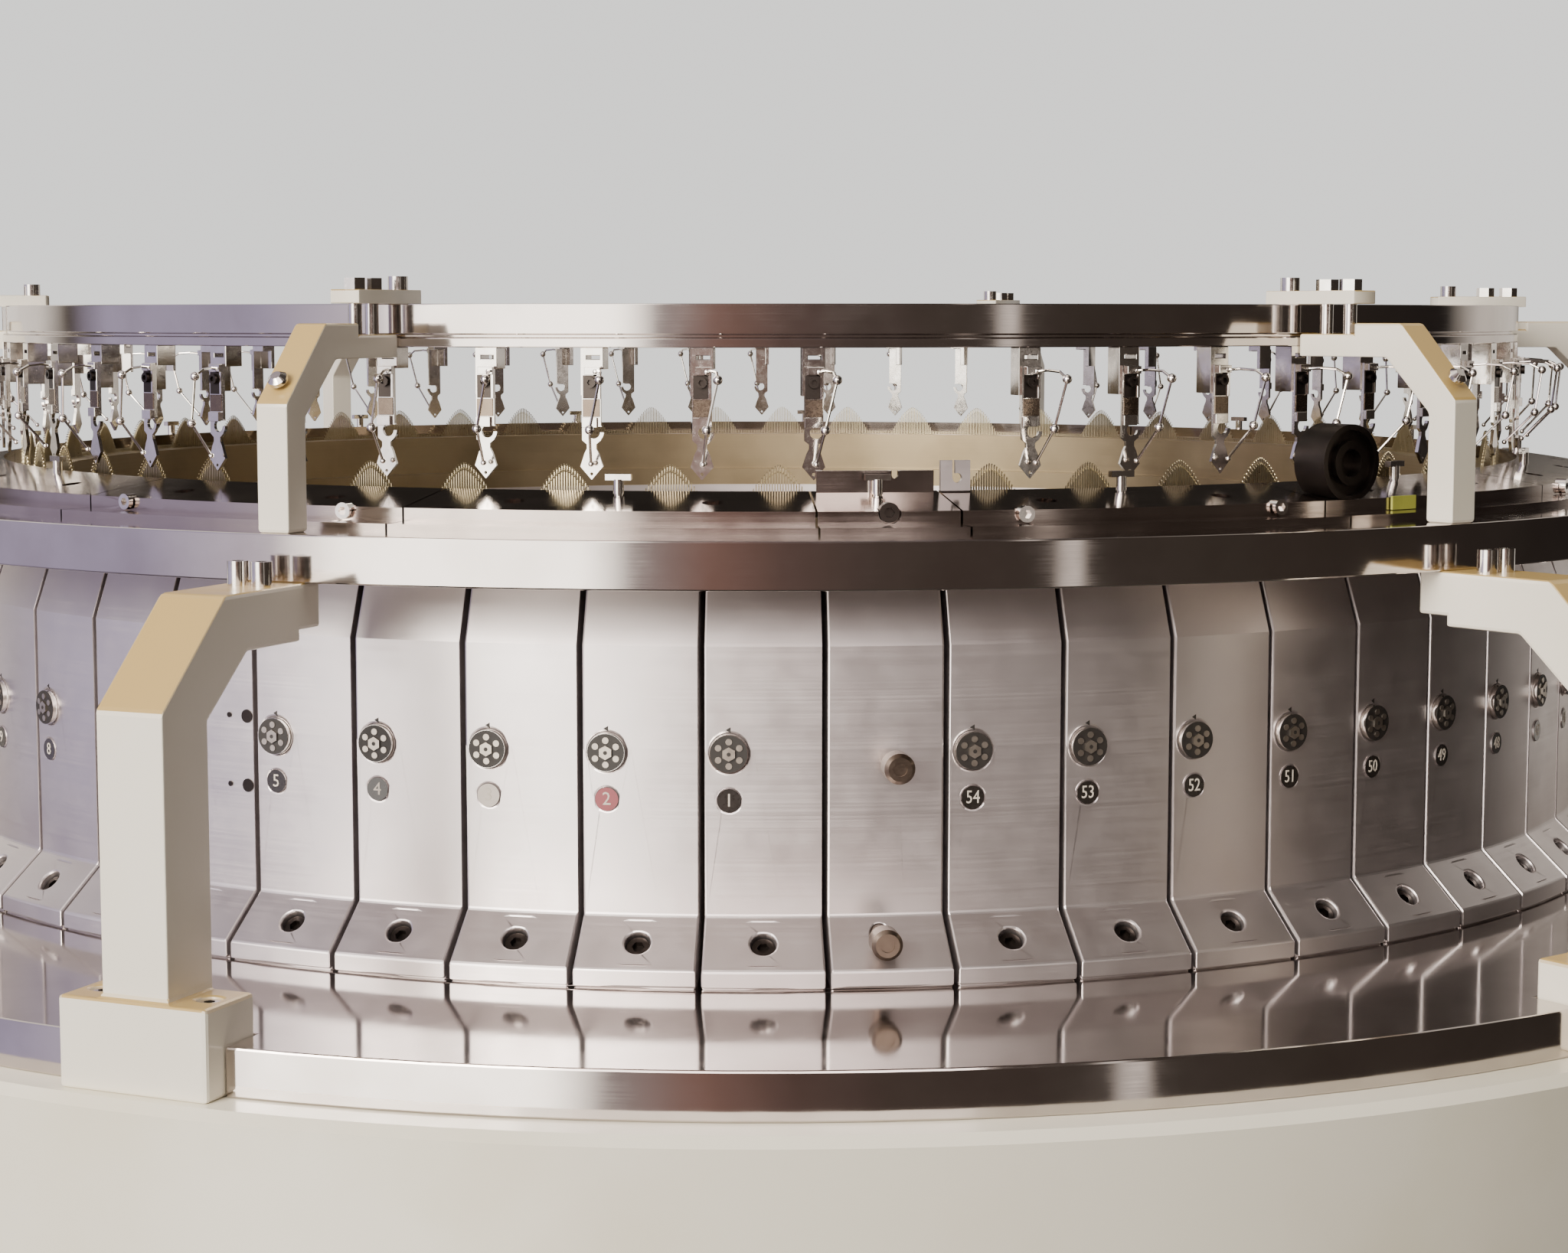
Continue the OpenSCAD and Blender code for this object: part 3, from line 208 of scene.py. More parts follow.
@dataclass(frozen=True)
class Metal:
    """A bare or plated metal, with the marks of its machining and a film of oil and lint."""

    name: str
    colour: str
    film: str
    rough: float
    rough_far: float
    grain: Grain = Grain.PLAIN
    grain_mm: float = 0.6
    grain_depth: float = 0.1
    film_mm: float = 40.0
    film_share: float = 0.35
    facing: float = 0.985
    level_slack: float = 0.01

    def place(self, tree: bpy.types.NodeTree) -> tuple[bpy.types.NodeSocket, bpy.types.NodeSocket]:
        """Gives the object coordinates, and the same with all turning about the axis taken out.

        Args:
            tree: the node tree.

        Returns:
            The plain coordinates and the lathe's coordinates: radius, zero and height.
        """
        coords = add_node(tree, "ShaderNodeTexCoord").outputs["Object"]
        split = add_node(tree, "ShaderNodeSeparateXYZ", {0: coords})
        flat = add_node(tree, "ShaderNodeCombineXYZ", {0: split.outputs[0], 1: split.outputs[1]})
        radius = add_node(tree, "ShaderNodeVectorMath", {0: flat.outputs[0]}, operation="LENGTH")
        lathe = add_node(tree, "ShaderNodeCombineXYZ", {0: radius.outputs["Value"], 2: split.outputs[2]})
        return coords, lathe.outputs[0]

    def lathe_normal(self, tree: bpy.types.NodeTree, coords: bpy.types.NodeSocket) -> bpy.types.NodeSocket:
        """Gives the true normal of a surface that was turned about the machine's axis.

        Args:
            tree: the node tree.
            coords: object coordinates.

        Returns:
            The lathe's normal on turned faces, and the mesh's own on all others.
        """
        vector, number = "ShaderNodeVectorMath", "ShaderNodeMath"
        level_only, upright_only = (1.0, 1.0, 0.0), (0.0, 0.0, 1.0)
        shape = add_node(tree, "ShaderNodeNewGeometry")
        flat = add_node(tree, "ShaderNodeVectorTransform", {0: shape.outputs["True Normal"]},
                        vector_type="NORMAL", convert_from="WORLD", convert_to="OBJECT").outputs[0]
        level = add_node(tree, vector, {0: flat, 1: level_only}, operation="MULTIPLY").outputs[0]
        upright = add_node(tree, vector, {0: flat, 1: upright_only}, operation="MULTIPLY").outputs[0]
        reach = add_node(tree, vector, {0: level}, operation="LENGTH").outputs["Value"]
        spoke = add_node(tree, vector, {0: coords, 1: level_only}, operation="MULTIPLY").outputs[0]
        spoke = add_node(tree, vector, {0: spoke}, operation="NORMALIZE").outputs[0]
        along = add_node(tree, vector, {0: level, 1: spoke}, operation="DOT_PRODUCT").outputs["Value"]
        side = add_node(tree, number, {0: along}, operation="SIGN").outputs[0]
        signed = add_node(tree, number, {0: reach, 1: side}, operation="MULTIPLY").outputs[0]
        level = add_node(tree, vector, {0: spoke, "Scale": signed}, operation="SCALE").outputs[0]
        turned = add_node(tree, vector, {0: level, 1: upright}, operation="ADD").outputs[0]
        turned = add_node(tree, "ShaderNodeVectorTransform", {0: turned}, vector_type="NORMAL",
                          convert_from="OBJECT", convert_to="WORLD").outputs[0]
        limit = add_node(tree, number, {0: reach, 1: self.facing, 2: -self.level_slack},
                         operation="MULTIPLY_ADD").outputs[0]
        size = add_node(tree, number, {0: along}, operation="ABSOLUTE").outputs[0]
        share = add_node(tree, number, {0: size, 1: limit}, operation="GREATER_THAN").outputs[0]
        mixed = add_node(tree, "ShaderNodeMix", {0: share, 4: shape.outputs["Normal"], 5: turned},
                         data_type="VECTOR")
        return mixed.outputs[1]

    def build(self) -> bpy.types.Material:
        """Builds the material.

        Returns:
            The material, ready to put on a mesh.
        """
        material, tree = new_tree(self.name)
        coords, lathe = self.place(tree)
        lines = lathe if self.grain is Grain.TURNED else coords
        film = spread(tree, noise(tree, coords, self.film_mm * MM, 5), 0.42, 0.75, 0.0, self.film_share)
        colour = blend_colours(tree, film, self.colour, self.film)
        grain = noise(tree, lines, self.grain_mm * MM, 2)
        blotch = noise(tree, coords, self.film_mm * MM / 3, 4)
        mixed = add_node(tree, "ShaderNodeMath", {0: grain, 1: blotch}, operation="MULTIPLY").outputs[0]
        rough = spread(tree, mixed, 0.1, 0.45, self.rough, self.rough_far)
        bump = add_node(tree, "ShaderNodeBump", {"Height": grain, "Distance": 0.0001,
                                                 "Strength": self.grain_depth})
        if self.grain is Grain.TURNED:
            tree.links.new(self.lathe_normal(tree, coords), bump.inputs["Normal"])
        sockets = {"Base Color": colour, "Metallic": 1.0, "Roughness": rough,
                   "Normal": bump.outputs[0]}
        shader = add_node(tree, "ShaderNodeBsdfPrincipled", sockets)
        add_node(tree, "ShaderNodeOutputMaterial", {"Surface": shader.outputs[0]})
        return material


@dataclass(frozen=True)
class Coating:
    """Paint, enamel, rubber or lacquer: a colour under a skin, with grime in broad stains, and where set a
    tan tint on faces that look up, which is painted warm light from above.
    """

    name: str
    colour: str
    grime: str
    rough: float
    ior: float = 1.5
    coat: float = 0.0
    grime_mm: float = 60.0
    grime_share: float = 0.3
    peel_mm: float = 2.0
    peel_depth: float = 0.05
    # Tint on faces that look up, and how much of it: painted warm light from above
    settled: str = ""
    settled_share: float = 0.0

    def build(self) -> bpy.types.Material:
        """Builds the material.

        Returns:
            The material, ready to put on a mesh.
        """
        material, tree = new_tree(self.name)
        coords = add_node(tree, "ShaderNodeTexCoord").outputs["Object"]
        stain = spread(tree, noise(tree, coords, self.grime_mm * MM, 6), 0.45, 0.8, 0.0, self.grime_share)
        colour = blend_colours(tree, stain, self.colour, self.grime)
        # Faces that look up are tinted tan: painted warm light from above
        if self.settled:
            shape = add_node(tree, "ShaderNodeNewGeometry")
            split = add_node(tree, "ShaderNodeSeparateXYZ", {0: shape.outputs["Normal"]})
            film = spread(tree, split.outputs[2], 0.2, 0.5, 0.0, self.settled_share)
            colour = blend_colours(tree, film, colour, self.settled)
        rough = spread(tree, noise(tree, coords, self.grime_mm * MM / 4, 3), 0.3, 0.7,
                       self.rough, self.rough + 0.12)
        peel = noise(tree, coords, self.peel_mm * MM, 2)
        bump = add_node(tree, "ShaderNodeBump", {"Height": peel, "Distance": 0.0002,
                                                 "Strength": self.peel_depth})
        shader = add_node(tree, "ShaderNodeBsdfPrincipled",
                          {"Base Color": colour, "Roughness": rough, "IOR": self.ior,
                           "Coat Weight": self.coat, "Coat Roughness": 0.12,
                           "Normal": bump.outputs[0]})
        add_node(tree, "ShaderNodeOutputMaterial", {"Surface": shader.outputs[0]})
        return material


class Finish(Enum):
    """Every finish on the machine, named for what the real one is, except where painted light or shade is
    noted.
    """

    # Satin-plated cam steel: pale, softly spread light, faint rings round the machine
    TURNED_CAM_STEEL = Metal("satin_cam_steel", "#dcd6d6", "#bfb3b2", 0.34, 0.44, Grain.TURNED,
                             grain_mm=0.8, grain_depth=0.05, film_share=0.25)
    # Lapped and polished steel rings: a clear mirror with a little oil on it
    POLISHED_RING = Metal("polished_ring_steel", "#cbc4c0", "#978b84", 0.06, 0.12, Grain.TURNED,
                          grain_mm=0.6, grain_depth=0.008, film_share=0.35)
    # Polished caps with old oil baked on them, dark brown in the light
    OILED_CAP = Metal("oil_stained_cap_steel", "#b3a8a2", "#5d5048", 0.10, 0.20, Grain.TURNED,
                      grain_mm=0.6, grain_depth=0.012, film_mm=60, film_share=0.5)
    # Door knobs whose nickel has worn to a brownish grey
    WORN_NICKEL = Metal("worn_nickel_plate", "#7d7065", "#4f443b", 0.28, 0.4, grain_depth=0.05, film_mm=8)
    # Dark brown metal sheet below each feeder's dark window: painted shade
    BLUED_LEAF = Metal("painted_shade_brown_sheet", "#75685c", "#493e36", 0.2, 0.35, grain_depth=0.03, film_mm=10)
    # Satin nickel on the marks of the stitch dials
    DIAL_NICKEL = Metal("satin_dial_nickel", "#b4aca2", "#7d7368", 0.3, 0.42, grain_depth=0.03, film_mm=6)
    # Nickel-chrome plate on small stamped and turned parts
    CHROME_PLATE = Metal("chrome_plate", "#e2ded9", "#a89f94", 0.07, 0.2, grain_depth=0.02, film_mm=8)
    # Spring steel of needles and sinkers, dulled by oil and lint
    NEEDLE_STEEL = Metal("needle_spring_steel", "#b5aa8c", "#7f7455", 0.26, 0.4, grain_depth=0.03, film_mm=12)
    # Bare machined cylinder with an olive-brown film of oil inside
    OILED_CYLINDER = Metal("oil_filmed_cylinder_steel", "#94866c", "#5f523b", 0.40, 0.50, Grain.TURNED,
                           grain_mm=1.0, grain_depth=0.02, film_mm=60, film_share=0.5)
    # Black oxide on screws
    BLACK_OXIDE = Metal("black_oxide_steel", "#3d3835", "#241f1d", 0.3, 0.45, grain_depth=0.05)
    # Machined cast iron, grey and slightly rough
    CAST_IRON = Metal("machined_cast_iron", "#6f6c69", "#3c3835", 0.35, 0.5, grain_mm=1.5, grain_depth=0.2)
    # Bearing bronze
    BRONZE = Metal("bearing_bronze", "#b08d57", "#6c5232", 0.2, 0.35, grain_depth=0.08)
    # Stoved cream enamel on castings, yellowed where oily hands and lint have been
    CREAM_ENAMEL = Coating("cream_stoving_enamel", "#e9e4d4", "#c9bd98", 0.3, coat=0.35,
                           grime_mm=90, grime_share=0.35)
    # The same enamel on the brackets, with a tan tint on the faces that look up: painted warm light from
    # above
    BRACKET_ENAMEL = Coating("bracket_enamel_painted_top_light", "#ece7d9", "#c9bd98", 0.3, coat=0.35,
                             grime_mm=90, grime_share=0.2, settled="#ae8a26", settled_share=0.85)
    # Grey machine enamel on the take-down frame
    GREY_ENAMEL = Coating("grey_machine_enamel", "#8d9297", "#5a5c5c", 0.35, coat=0.2)
    # Vulcanised rubber sleeve on the draw rollers
    SLEEVE_RUBBER = Coating("vulcanised_rubber_sleeve", "#2b2b2c", "#454340", 0.7, ior=1.52, peel_depth=0.3)
    # Baked lacquer of the round feed badges
    BLACK_LACQUER = Coating("black_badge_lacquer", "#1f1b18", "#3a332e", 0.25, coat=0.6, grime_mm=6)
    # Red lacquer of one badge
    RED_LACQUER = Coating("red_badge_lacquer", "#8a2733", "#5c1f26", 0.28, coat=0.5, grime_mm=6)
    # Badge whose lacquer has washed out
    PALE_LACQUER = Coating("washed_out_badge_lacquer", "#ddd4cb", "#c6bbb1", 0.4, grime_mm=6)
    # White filling of the engraved numbers
    WHITE_FILL = Coating("white_number_filling", "#d8d0c4", "#a59c90", 0.5, grime_mm=5)
    # Dark recess and ink of a dial's scale
    DIAL_INK = Coating("black_dial_ink", "#1f1b18", "#37302a", 0.5, grime_mm=5)
    # Yellow-green colour of a small square on the cap
    TAG_PLASTIC = Coating("yellow_green_square_finish", "#a8ad4a", "#6d6f36", 0.4, grime_mm=8)
    # Smooth pale studio floor
    STUDIO_FLOOR = Coating("pale_studio_floor", "#dcdad6", "#d3d1cd", 0.6, grime_share=0.2, peel_depth=0.0)


@dataclass
class FinishBook:
    """Builds each finish once and hands it out."""

    built: dict = field(default_factory=dict)

    def get(self, finish: Finish) -> bpy.types.Material:
        """Gives the material of a finish.

        Args:
            finish: which finish.

        Returns:
            The material, built on its first use.
        """
        if finish not in self.built:
            self.built[finish] = finish.value.build()
        return self.built[finish]


@dataclass(frozen=True)
class Layout:
    """The machine's driving sizes, in metres and degrees, as in the part's source."""

    feeds: int = 54
    door_angle: float = 6.7
    needle_r: float = 0.4064
    slope_out: float = 0.021
    dial_shift: float = 0.0143
    dial_proud: float = 0.0023
    badge_proud: float = 0.0006
    feeder_gap: float = 0.0084
    feeder_lag: float = 0.3
    wave_share: float = 0.31
    wave_round: float = 1.6
    needle_lift: float = 0.0164
    bracket_angle: float = -23.25
    brackets: int = 6

    @property
    def pitch(self) -> float:
        """Angle between two feeds."""
        return 360 / (self.feeds + 1)

    @property
    def wall_r(self) -> float:
        """Radius of the cam boxes' outer wall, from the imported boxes' rims."""
        low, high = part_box("cam_boxes")
        return (high.x - low.x) / 2 - self.slope_out

    @property
    def dial_z(self) -> float:
        """Height of the dials' middle."""
        low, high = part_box("dial_1")
        return (low.z + high.z) / 2

    @property
    def badge_z(self) -> float:
        """Height of the badges' middle."""
        low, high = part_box("feed_badges")
        return (low.z + high.z) / 2

    def box_angle(self, feed: int) -> float:
        """Angle of the middle of a feed's cam box."""
        return self.door_angle - feed * self.pitch

    def dial_angle(self, feed: int) -> float:
        """Angle of a feed's dial and badge."""
        return self.box_angle(feed) - math.degrees(self.dial_shift / self.wall_r)

    def feeder_angle(self, feed: int) -> float:
        """Angle of a feed's yarn feeder."""
        return self.box_angle(feed) + self.pitch / 2 - self.feeder_lag

    def rise(self, angle: float) -> float:
        """Share of the full rise of a needle at an angle.

        Args:
            angle: place round the machine in degrees.

        Returns:
            0 for a resting needle and 1 at the peak beside a feeder.
        """
        place = (self.door_angle + self.pitch / 2 - self.feeder_lag - angle) / self.pitch
        turn = place % (self.feeds + 1)
        if turn < 1:
            return 0.0
        return max(0.0, 1 - (abs(turn % 1 - self.wave_share) / self.wave_share) ** self.wave_round)


def outward(angle: float, radius: float, height: float) -> Matrix:
    """Gives the frame of a place on a round wall.

    Args:
        angle: place round the machine in degrees.
        radius: distance from the machine's axis.
        height: height over the floor.

    Returns:
        A matrix whose X runs along the wall, Y up and Z outwards.
    """
    turn = Matrix.Rotation(math.radians(angle), 4, "Z")
    out = Matrix.Translation((0, -radius, height))
    return turn @ out @ Matrix.Rotation(math.radians(90), 4, "X")


class Bench:
    """Makes finished pieces out of bmeshes and puts them on their CAD bodies."""

    def __init__(self, finishes: FinishBook) -> None:
        """Keeps the book of finishes."""
        self.finishes = finishes

    def finish_piece(self, name: str, bm: bmesh.types.BMesh, finishes: Sequence[Finish], body: str,
                     slot: Optional[str] = None, smooth_deg: float = 35.0) -> bpy.types.Object:
        """Turns a bmesh into an object that rides on a body.

        Args:
            name: the piece's name.
            bm: the shape in the part's frame; it is freed.
            finishes: one finish for each material index.
            body: name of the CAD body that carries the piece.
            slot: the record's material slot; not used.
            smooth_deg: edges flatter than this are shaded smooth.

        Returns:
            The new object.
        """
        for face in bm.faces:
            face.smooth = True
        for edge in bm.edges:
            if len(edge.link_faces) == 2:
                edge.smooth = edge.calc_face_angle(0.0) < math.radians(smooth_deg)
        mesh = bpy.data.meshes.new(name)
        bm.to_mesh(mesh)
        bm.free()
        for finish in finishes:
            mesh.materials.append(self.finishes.get(finish))
        piece = bpy.data.objects.new(name, mesh)
        bpy.context.scene.collection.objects.link(piece)
        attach(piece, body)
        log.info("%s: %d faces on %s", name, len(mesh.polygons), body)
        return piece


def paint(faces: Iterable[bmesh.types.BMFace], index: int) -> None:
    """Gives faces a material index."""
    for face in faces:
        face.material_index = index


def faces_of(verts: Iterable[bmesh.types.BMVert]) -> set:
    """Gives all faces that touch some vertices."""
    return {face for vert in verts for face in vert.link_faces}


def add_disc(bm: bmesh.types.BMesh, frame: Matrix, radius: float, low: float, high: float,
             sides: int = 24, index: int = 0, tip: Optional[float] = None) -> None:
    """Adds a short round or many-sided prism that stands on a frame's XY plane.

    Args:
        bm: the bmesh to add to.
        frame: the frame that the prism stands in.
        radius: radius at the foot.
        low: start along the frame's Z.
        high: end along the frame's Z.
        sides: corners of the prism.
        index: material index.
        tip: radius at the far end, if not the same.
    """
    middle = frame @ Matrix.Translation((0, 0, (low + high) / 2))
    made = bmesh.ops.create_cone(bm, cap_ends=True, segments=sides, radius1=radius,
                                 radius2=radius if tip is None else tip, depth=high - low,
                                 matrix=middle)
    paint(faces_of(made["verts"]), index)


def add_ball(bm: bmesh.types.BMesh, centre: Vector, radius: float, index: int = 0, rings: int = 6) -> None:
    """Adds a ball.

    Args:
        bm: the bmesh to add to.
        centre: its middle.
        radius: its radius.
        index: material index.
        rings: rings from pole to pole.
    """
    made = bmesh.ops.create_uvsphere(bm, u_segments=rings * 2, v_segments=rings, radius=radius,
                                     matrix=Matrix.Translation(centre))
    paint(faces_of(made["verts"]), index)


def add_rod(bm: bmesh.types.BMesh, start: Vector, end: Vector, radius: float, sides: int = 8,
            index: int = 0) -> None:
    """Adds a straight round rod between two points.

    Args:
        bm: the bmesh to add to.
        start: one end.
        end: the other end.
        radius: the rod's radius.
        sides: corners of its section.
        index: material index.
    """
    run = end - start
    turn = run.to_track_quat("Z", "Y").to_matrix().to_4x4()
    frame = Matrix.Translation((start + end) / 2) @ turn
    made = bmesh.ops.create_cone(bm, cap_ends=True, segments=sides, radius1=radius, radius2=radius,
                                 depth=run.length, matrix=frame)
    paint(faces_of(made["verts"]), index)


def add_box(bm: bmesh.types.BMesh, frame: Matrix, low: Sequence[float], high: Sequence[float],
            index: int = 0) -> None:
    """Adds a box between two corners of a frame.

    Args:
        bm: the bmesh to add to.
        frame: the frame of the corners.
        low: lowest corner.
        high: highest corner.
        index: material index.
    """
    middle = [(a + b) / 2 for a, b in zip(low, high)]
    size = [b - a for a, b in zip(low, high)]
    place = frame @ Matrix.Translation(middle) @ Matrix.Diagonal((*size, 1))
    made = bmesh.ops.create_cube(bm, size=1, matrix=place)
    paint(faces_of(made["verts"]), index)


def stamp(shape: bmesh.types.BMesh, places: Iterable[Matrix]) -> bmesh.types.BMesh:
    """Repeats one finished shape at many places.

    Args:
        shape: the shape in its own frame; it is freed.
        places: one frame for each copy.

    Returns:
        A new bmesh that holds all the copies.
    """
    pattern = bpy.data.meshes.new("pattern")
    shape.to_mesh(pattern)
    shape.free()
    whole = bmesh.new()
    for place in places:
        copy = pattern.copy()
        copy.transform(place)
        whole.from_mesh(copy)
        bpy.data.meshes.remove(copy)
    bpy.data.meshes.remove(pattern)
    return whole


@dataclass
class NeedleRing:
    """The needles, as close as they show in the machine: a blade, a hook and a latch each."""

    layout: Layout
    bench: Bench
    per_feed: int = 40
    blade: float = 0.00045
    depth: float = 0.0012
    hook_r: float = 0.0006
    wire_r: float = 0.00022
    set_in: float = 0.0010
    stem: float = 0.0200
    over_verge: float = 0.0020

    def one(self) -> bmesh.types.BMesh:
        """Makes one needle whose hook's top is at the origin.

        Returns:
            The needle's shape.
        """
        bm = bmesh.new()
        still = Matrix.Identity(4)
        hook = self.hook_r
        add_box(bm, still, (-self.blade / 2, -self.stem, -self.depth / 2),
                (self.blade / 2, -4 * hook, self.depth / 2))
        add_box(bm, still, (-self.wire_r, -4 * hook, -self.wire_r * 2), (self.wire_r, -hook, 0))
        turn = [math.pi * i / 3 for i in range(4)]
        arc = [Vector((0, math.sin(t) * hook - hook, hook - self.wire_r - math.cos(t) * hook)) for t in turn]
        for start, end in zip(arc, arc[1:]):
            add_rod(bm, start, end, self.wire_r, sides=3)
        latch = Vector((0, -5.5 * hook, 2.4 * hook))
        add_rod(bm, Vector((0, -3.6 * hook, 0)), latch, self.wire_r, sides=3)
        return bm

    def places(self) -> list[Matrix]:
        """Gives the frame of every needle's hook.

        Returns:
            One frame for each needle of the ring, at the height of the wave.
        """
        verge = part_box("trick_ring")[1].z
        count = (self.layout.feeds + 1) * self.per_feed
        angles = [self.layout.door_angle + (i + 0.5) * 360 / count for i in range(count)]
        return [outward(a, self.layout.needle_r - self.set_in,
                        verge + self.over_verge + self.layout.needle_lift * self.layout.rise(a))
                for a in angles]

    def build(self) -> None:
        """Builds the ring in place of the source's plainer needles."""
        bm = stamp(self.one(), self.places())
        piece = self.bench.finish_piece("needle_comb", bm, [Finish.NEEDLE_STEEL],
                                        Body.CYLINDER.value, "chrome")
        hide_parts("needles")


@dataclass
class GuideWires:
    """The bent wire of each feeder with its three eyelet balls, which leads the yarn to the tip."""

    layout: Layout
    bench: Bench
    wire_r: float = 0.0006
    ball_r: float = 0.0021
    path_mm: tuple = ((2.2, 46, 2), (4.6, 46.5, 9), (7.4, 46, 16), (8.3, 43, 22),
                      (3.5, 22, 20), (0.8, 7, 6))
    ball_at: tuple = (3, 4)

    def build(self) -> None:
        """Builds all the wires as one piece on the frame."""
        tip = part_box("feeder_guides")[0].z
        bm = bmesh.new()
        points = [Vector(p) * MM for p in self.path_mm]
        for start, end in zip(points, points[1:]):
            add_rod(bm, start, end, self.wire_r)
        for i in self.ball_at:
            add_ball(bm, points[i], self.ball_r)
        add_ball(bm, points[0], self.ball_r * 0.9)
        add_ball(bm, points[-1], self.ball_r * 0.6)
        radius = self.layout.needle_r + self.layout.feeder_gap
        whole = stamp(bm, [outward(self.layout.feeder_angle(feed), radius, tip)
                           for feed in range(1, self.layout.feeds + 1)])
        self.bench.finish_piece("guide_wires", whole, [Finish.CHROME_PLATE], Body.FRAME.value, "chrome")


@dataclass
class FeederFaces:
    """What is clamped on the front of each feeder's plate: block, dark window and nose, with a dark brown
    sheet of painted shade between window and nose.
    """

    layout: Layout
    bench: Bench
    proud: float = 0.0100
    parts_mm: tuple = (
        (0, (-2.6, 44.7, -0.2), (4.2, 48.0, 1.9)),
        (0, (2.9, 34.4, -0.2), (4.2, 44.7, 0.8)),
        (1, (-3.6, 34.6, -0.2), (2.7, 44.5, 0.25)),
        # Dark brown sheet below the window: painted shade
        (2, (-3.7, 26.8, -0.2), (3.8, 34.3, 0.35)),
        (0, (-3.9, 22.3, -0.2), (2.7, 26.6, 1.5)))

    def build(self) -> None:
        """Builds the fronts of all feeders as one piece on the frame."""
        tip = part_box("feeder_guides")[0].z
        bm = bmesh.new()
        for index, low, high in self.parts_mm:
            add_box(bm, Matrix.Identity(4), Vector(low) * MM, Vector(high) * MM, index)
        bmesh.ops.bevel(bm, geom=bm.edges[:], offset=0.00015, segments=1, profile=0.5,
                        affect="EDGES", material=-1)
        radius = self.layout.needle_r + self.proud
        whole = stamp(bm, [outward(self.layout.feeder_angle(feed), radius, tip)
                           for feed in range(1, self.layout.feeds + 1)])
        self.bench.finish_piece("feeder_fronts", whole,
                                [Finish.CHROME_PLATE, Finish.BLACK_OXIDE, Finish.BLUED_LEAF],
                                Body.FRAME.value, "chrome")


@dataclass
class InnerBand:
    """The bright band round the inside of the needle cylinder."""

    bench: Bench
    low: float = 0.1560
    high: float = 0.1610
    outer_r: float = 0.3823
    depth: float = 0.0012
    steps: int = 180

    def build(self) -> None:
        """Spins the band's section about the machine's axis."""
        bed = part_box("bed_plate")[1].z
        bm = bmesh.new()
        middle = ((self.low + self.high) / 2 + bed, self.outer_r - self.depth / 2)
        size = Matrix.Diagonal((self.depth, self.high - self.low, 1, 1))
        place = Matrix.Translation((middle[1], 0, middle[0]))
        place = place @ Matrix.Rotation(math.radians(90), 4, "X") @ size
        bmesh.ops.create_grid(bm, x_segments=1, y_segments=1, size=0.5, matrix=place)
        bmesh.ops.delete(bm, geom=bm.faces[:], context="FACES_ONLY")
        bmesh.ops.spin(bm, geom=bm.edges[:] + bm.verts[:], cent=(0, 0, 0), axis=(0, 0, 1),
                       angle=math.tau, steps=self.steps, use_merge=True)
        bmesh.ops.recalc_face_normals(bm, faces=bm.faces[:])
        self.bench.finish_piece("inner_band", bm, [Finish.TURNED_CAM_STEEL], Body.CYLINDER.value, "chrome")


@dataclass
class DialFaces:
    """The face of each stitch dial: six bright setting marks, a hexagon and the scale's pointer."""

    layout: Layout
    bench: Bench
    rim_r: float = 0.0079
    mark_r: float = 0.0014
    mark_ring: float = 0.0051
    hex_r: float = 0.0030
    eye_r: float = 0.0009
    pointer_r: float = 0.0014
    pointer_up: float = 0.0098
    pointer_sunk: float = 0.0002
    turning: tuple = (1, 2, 3, 4, 5, 50, 51, 52, 53, 54)

    def face(self) -> bmesh.types.BMesh:
        """Makes one dial's face in its own frame.

        Returns:
            The face: rim disc, marks, hexagon and eye.
        """
        bm = bmesh.new()
        still = Matrix.Identity(4)
        add_disc(bm, still, self.rim_r, -0.0001, 0.0002, 32, index=1)
        for i in range(6):
            turn = Matrix.Rotation(math.radians(30 + 60 * i), 4, "Z")
            add_disc(bm, turn @ Matrix.Translation((self.mark_ring, 0, 0)), self.mark_r, 0.0001, 0.0006, 10)
        add_disc(bm, still, self.hex_r, 0.0001, 0.0012, 6)
        add_disc(bm, still, self.eye_r, 0.0011, 0.0013, 8, index=1)
        return bm

    def place(self, feed: int) -> Matrix:
        """Gives the frame of a feed's dial face."""
        return outward(self.layout.dial_angle(feed), self.layout.wall_r + self.layout.dial_proud,
                       self.layout.dial_z)

    def pointer_place(self, feed: int) -> Matrix:
        """Gives the frame of the engraved pointer over a feed's dial."""
        place = outward(self.layout.dial_angle(feed), self.layout.wall_r - self.pointer_sunk,
                        self.layout.dial_z + self.pointer_up)
        return place @ Matrix.Rotation(math.radians(90), 4, "Z")

    def build(self) -> None:
        """Builds a face on each turning dial, one piece for the rest, and the pointers."""
        finishes = [Finish.DIAL_NICKEL, Finish.DIAL_INK]
        for feed in self.turning:
            bm = stamp(self.face(), [self.place(feed)])
            self.bench.finish_piece(f"dial_face_{feed}", bm, finishes, f"dial_{feed}", "chrome")
        feeds = range(1, self.layout.feeds + 1)
        bm = stamp(self.face(), [self.place(f) for f in feeds if f not in self.turning])
        self.bench.finish_piece("dial_faces_rest", bm, finishes, Body.FRAME.value, "chrome")
        bm = bmesh.new()
        add_disc(bm, Matrix.Identity(4), self.pointer_r, 0.0, 0.00025, 3)
        bm = stamp(bm, [self.pointer_place(f) for f in feeds])
        self.bench.finish_piece("dial_pointers", bm, [Finish.DIAL_INK], Body.FRAME.value)


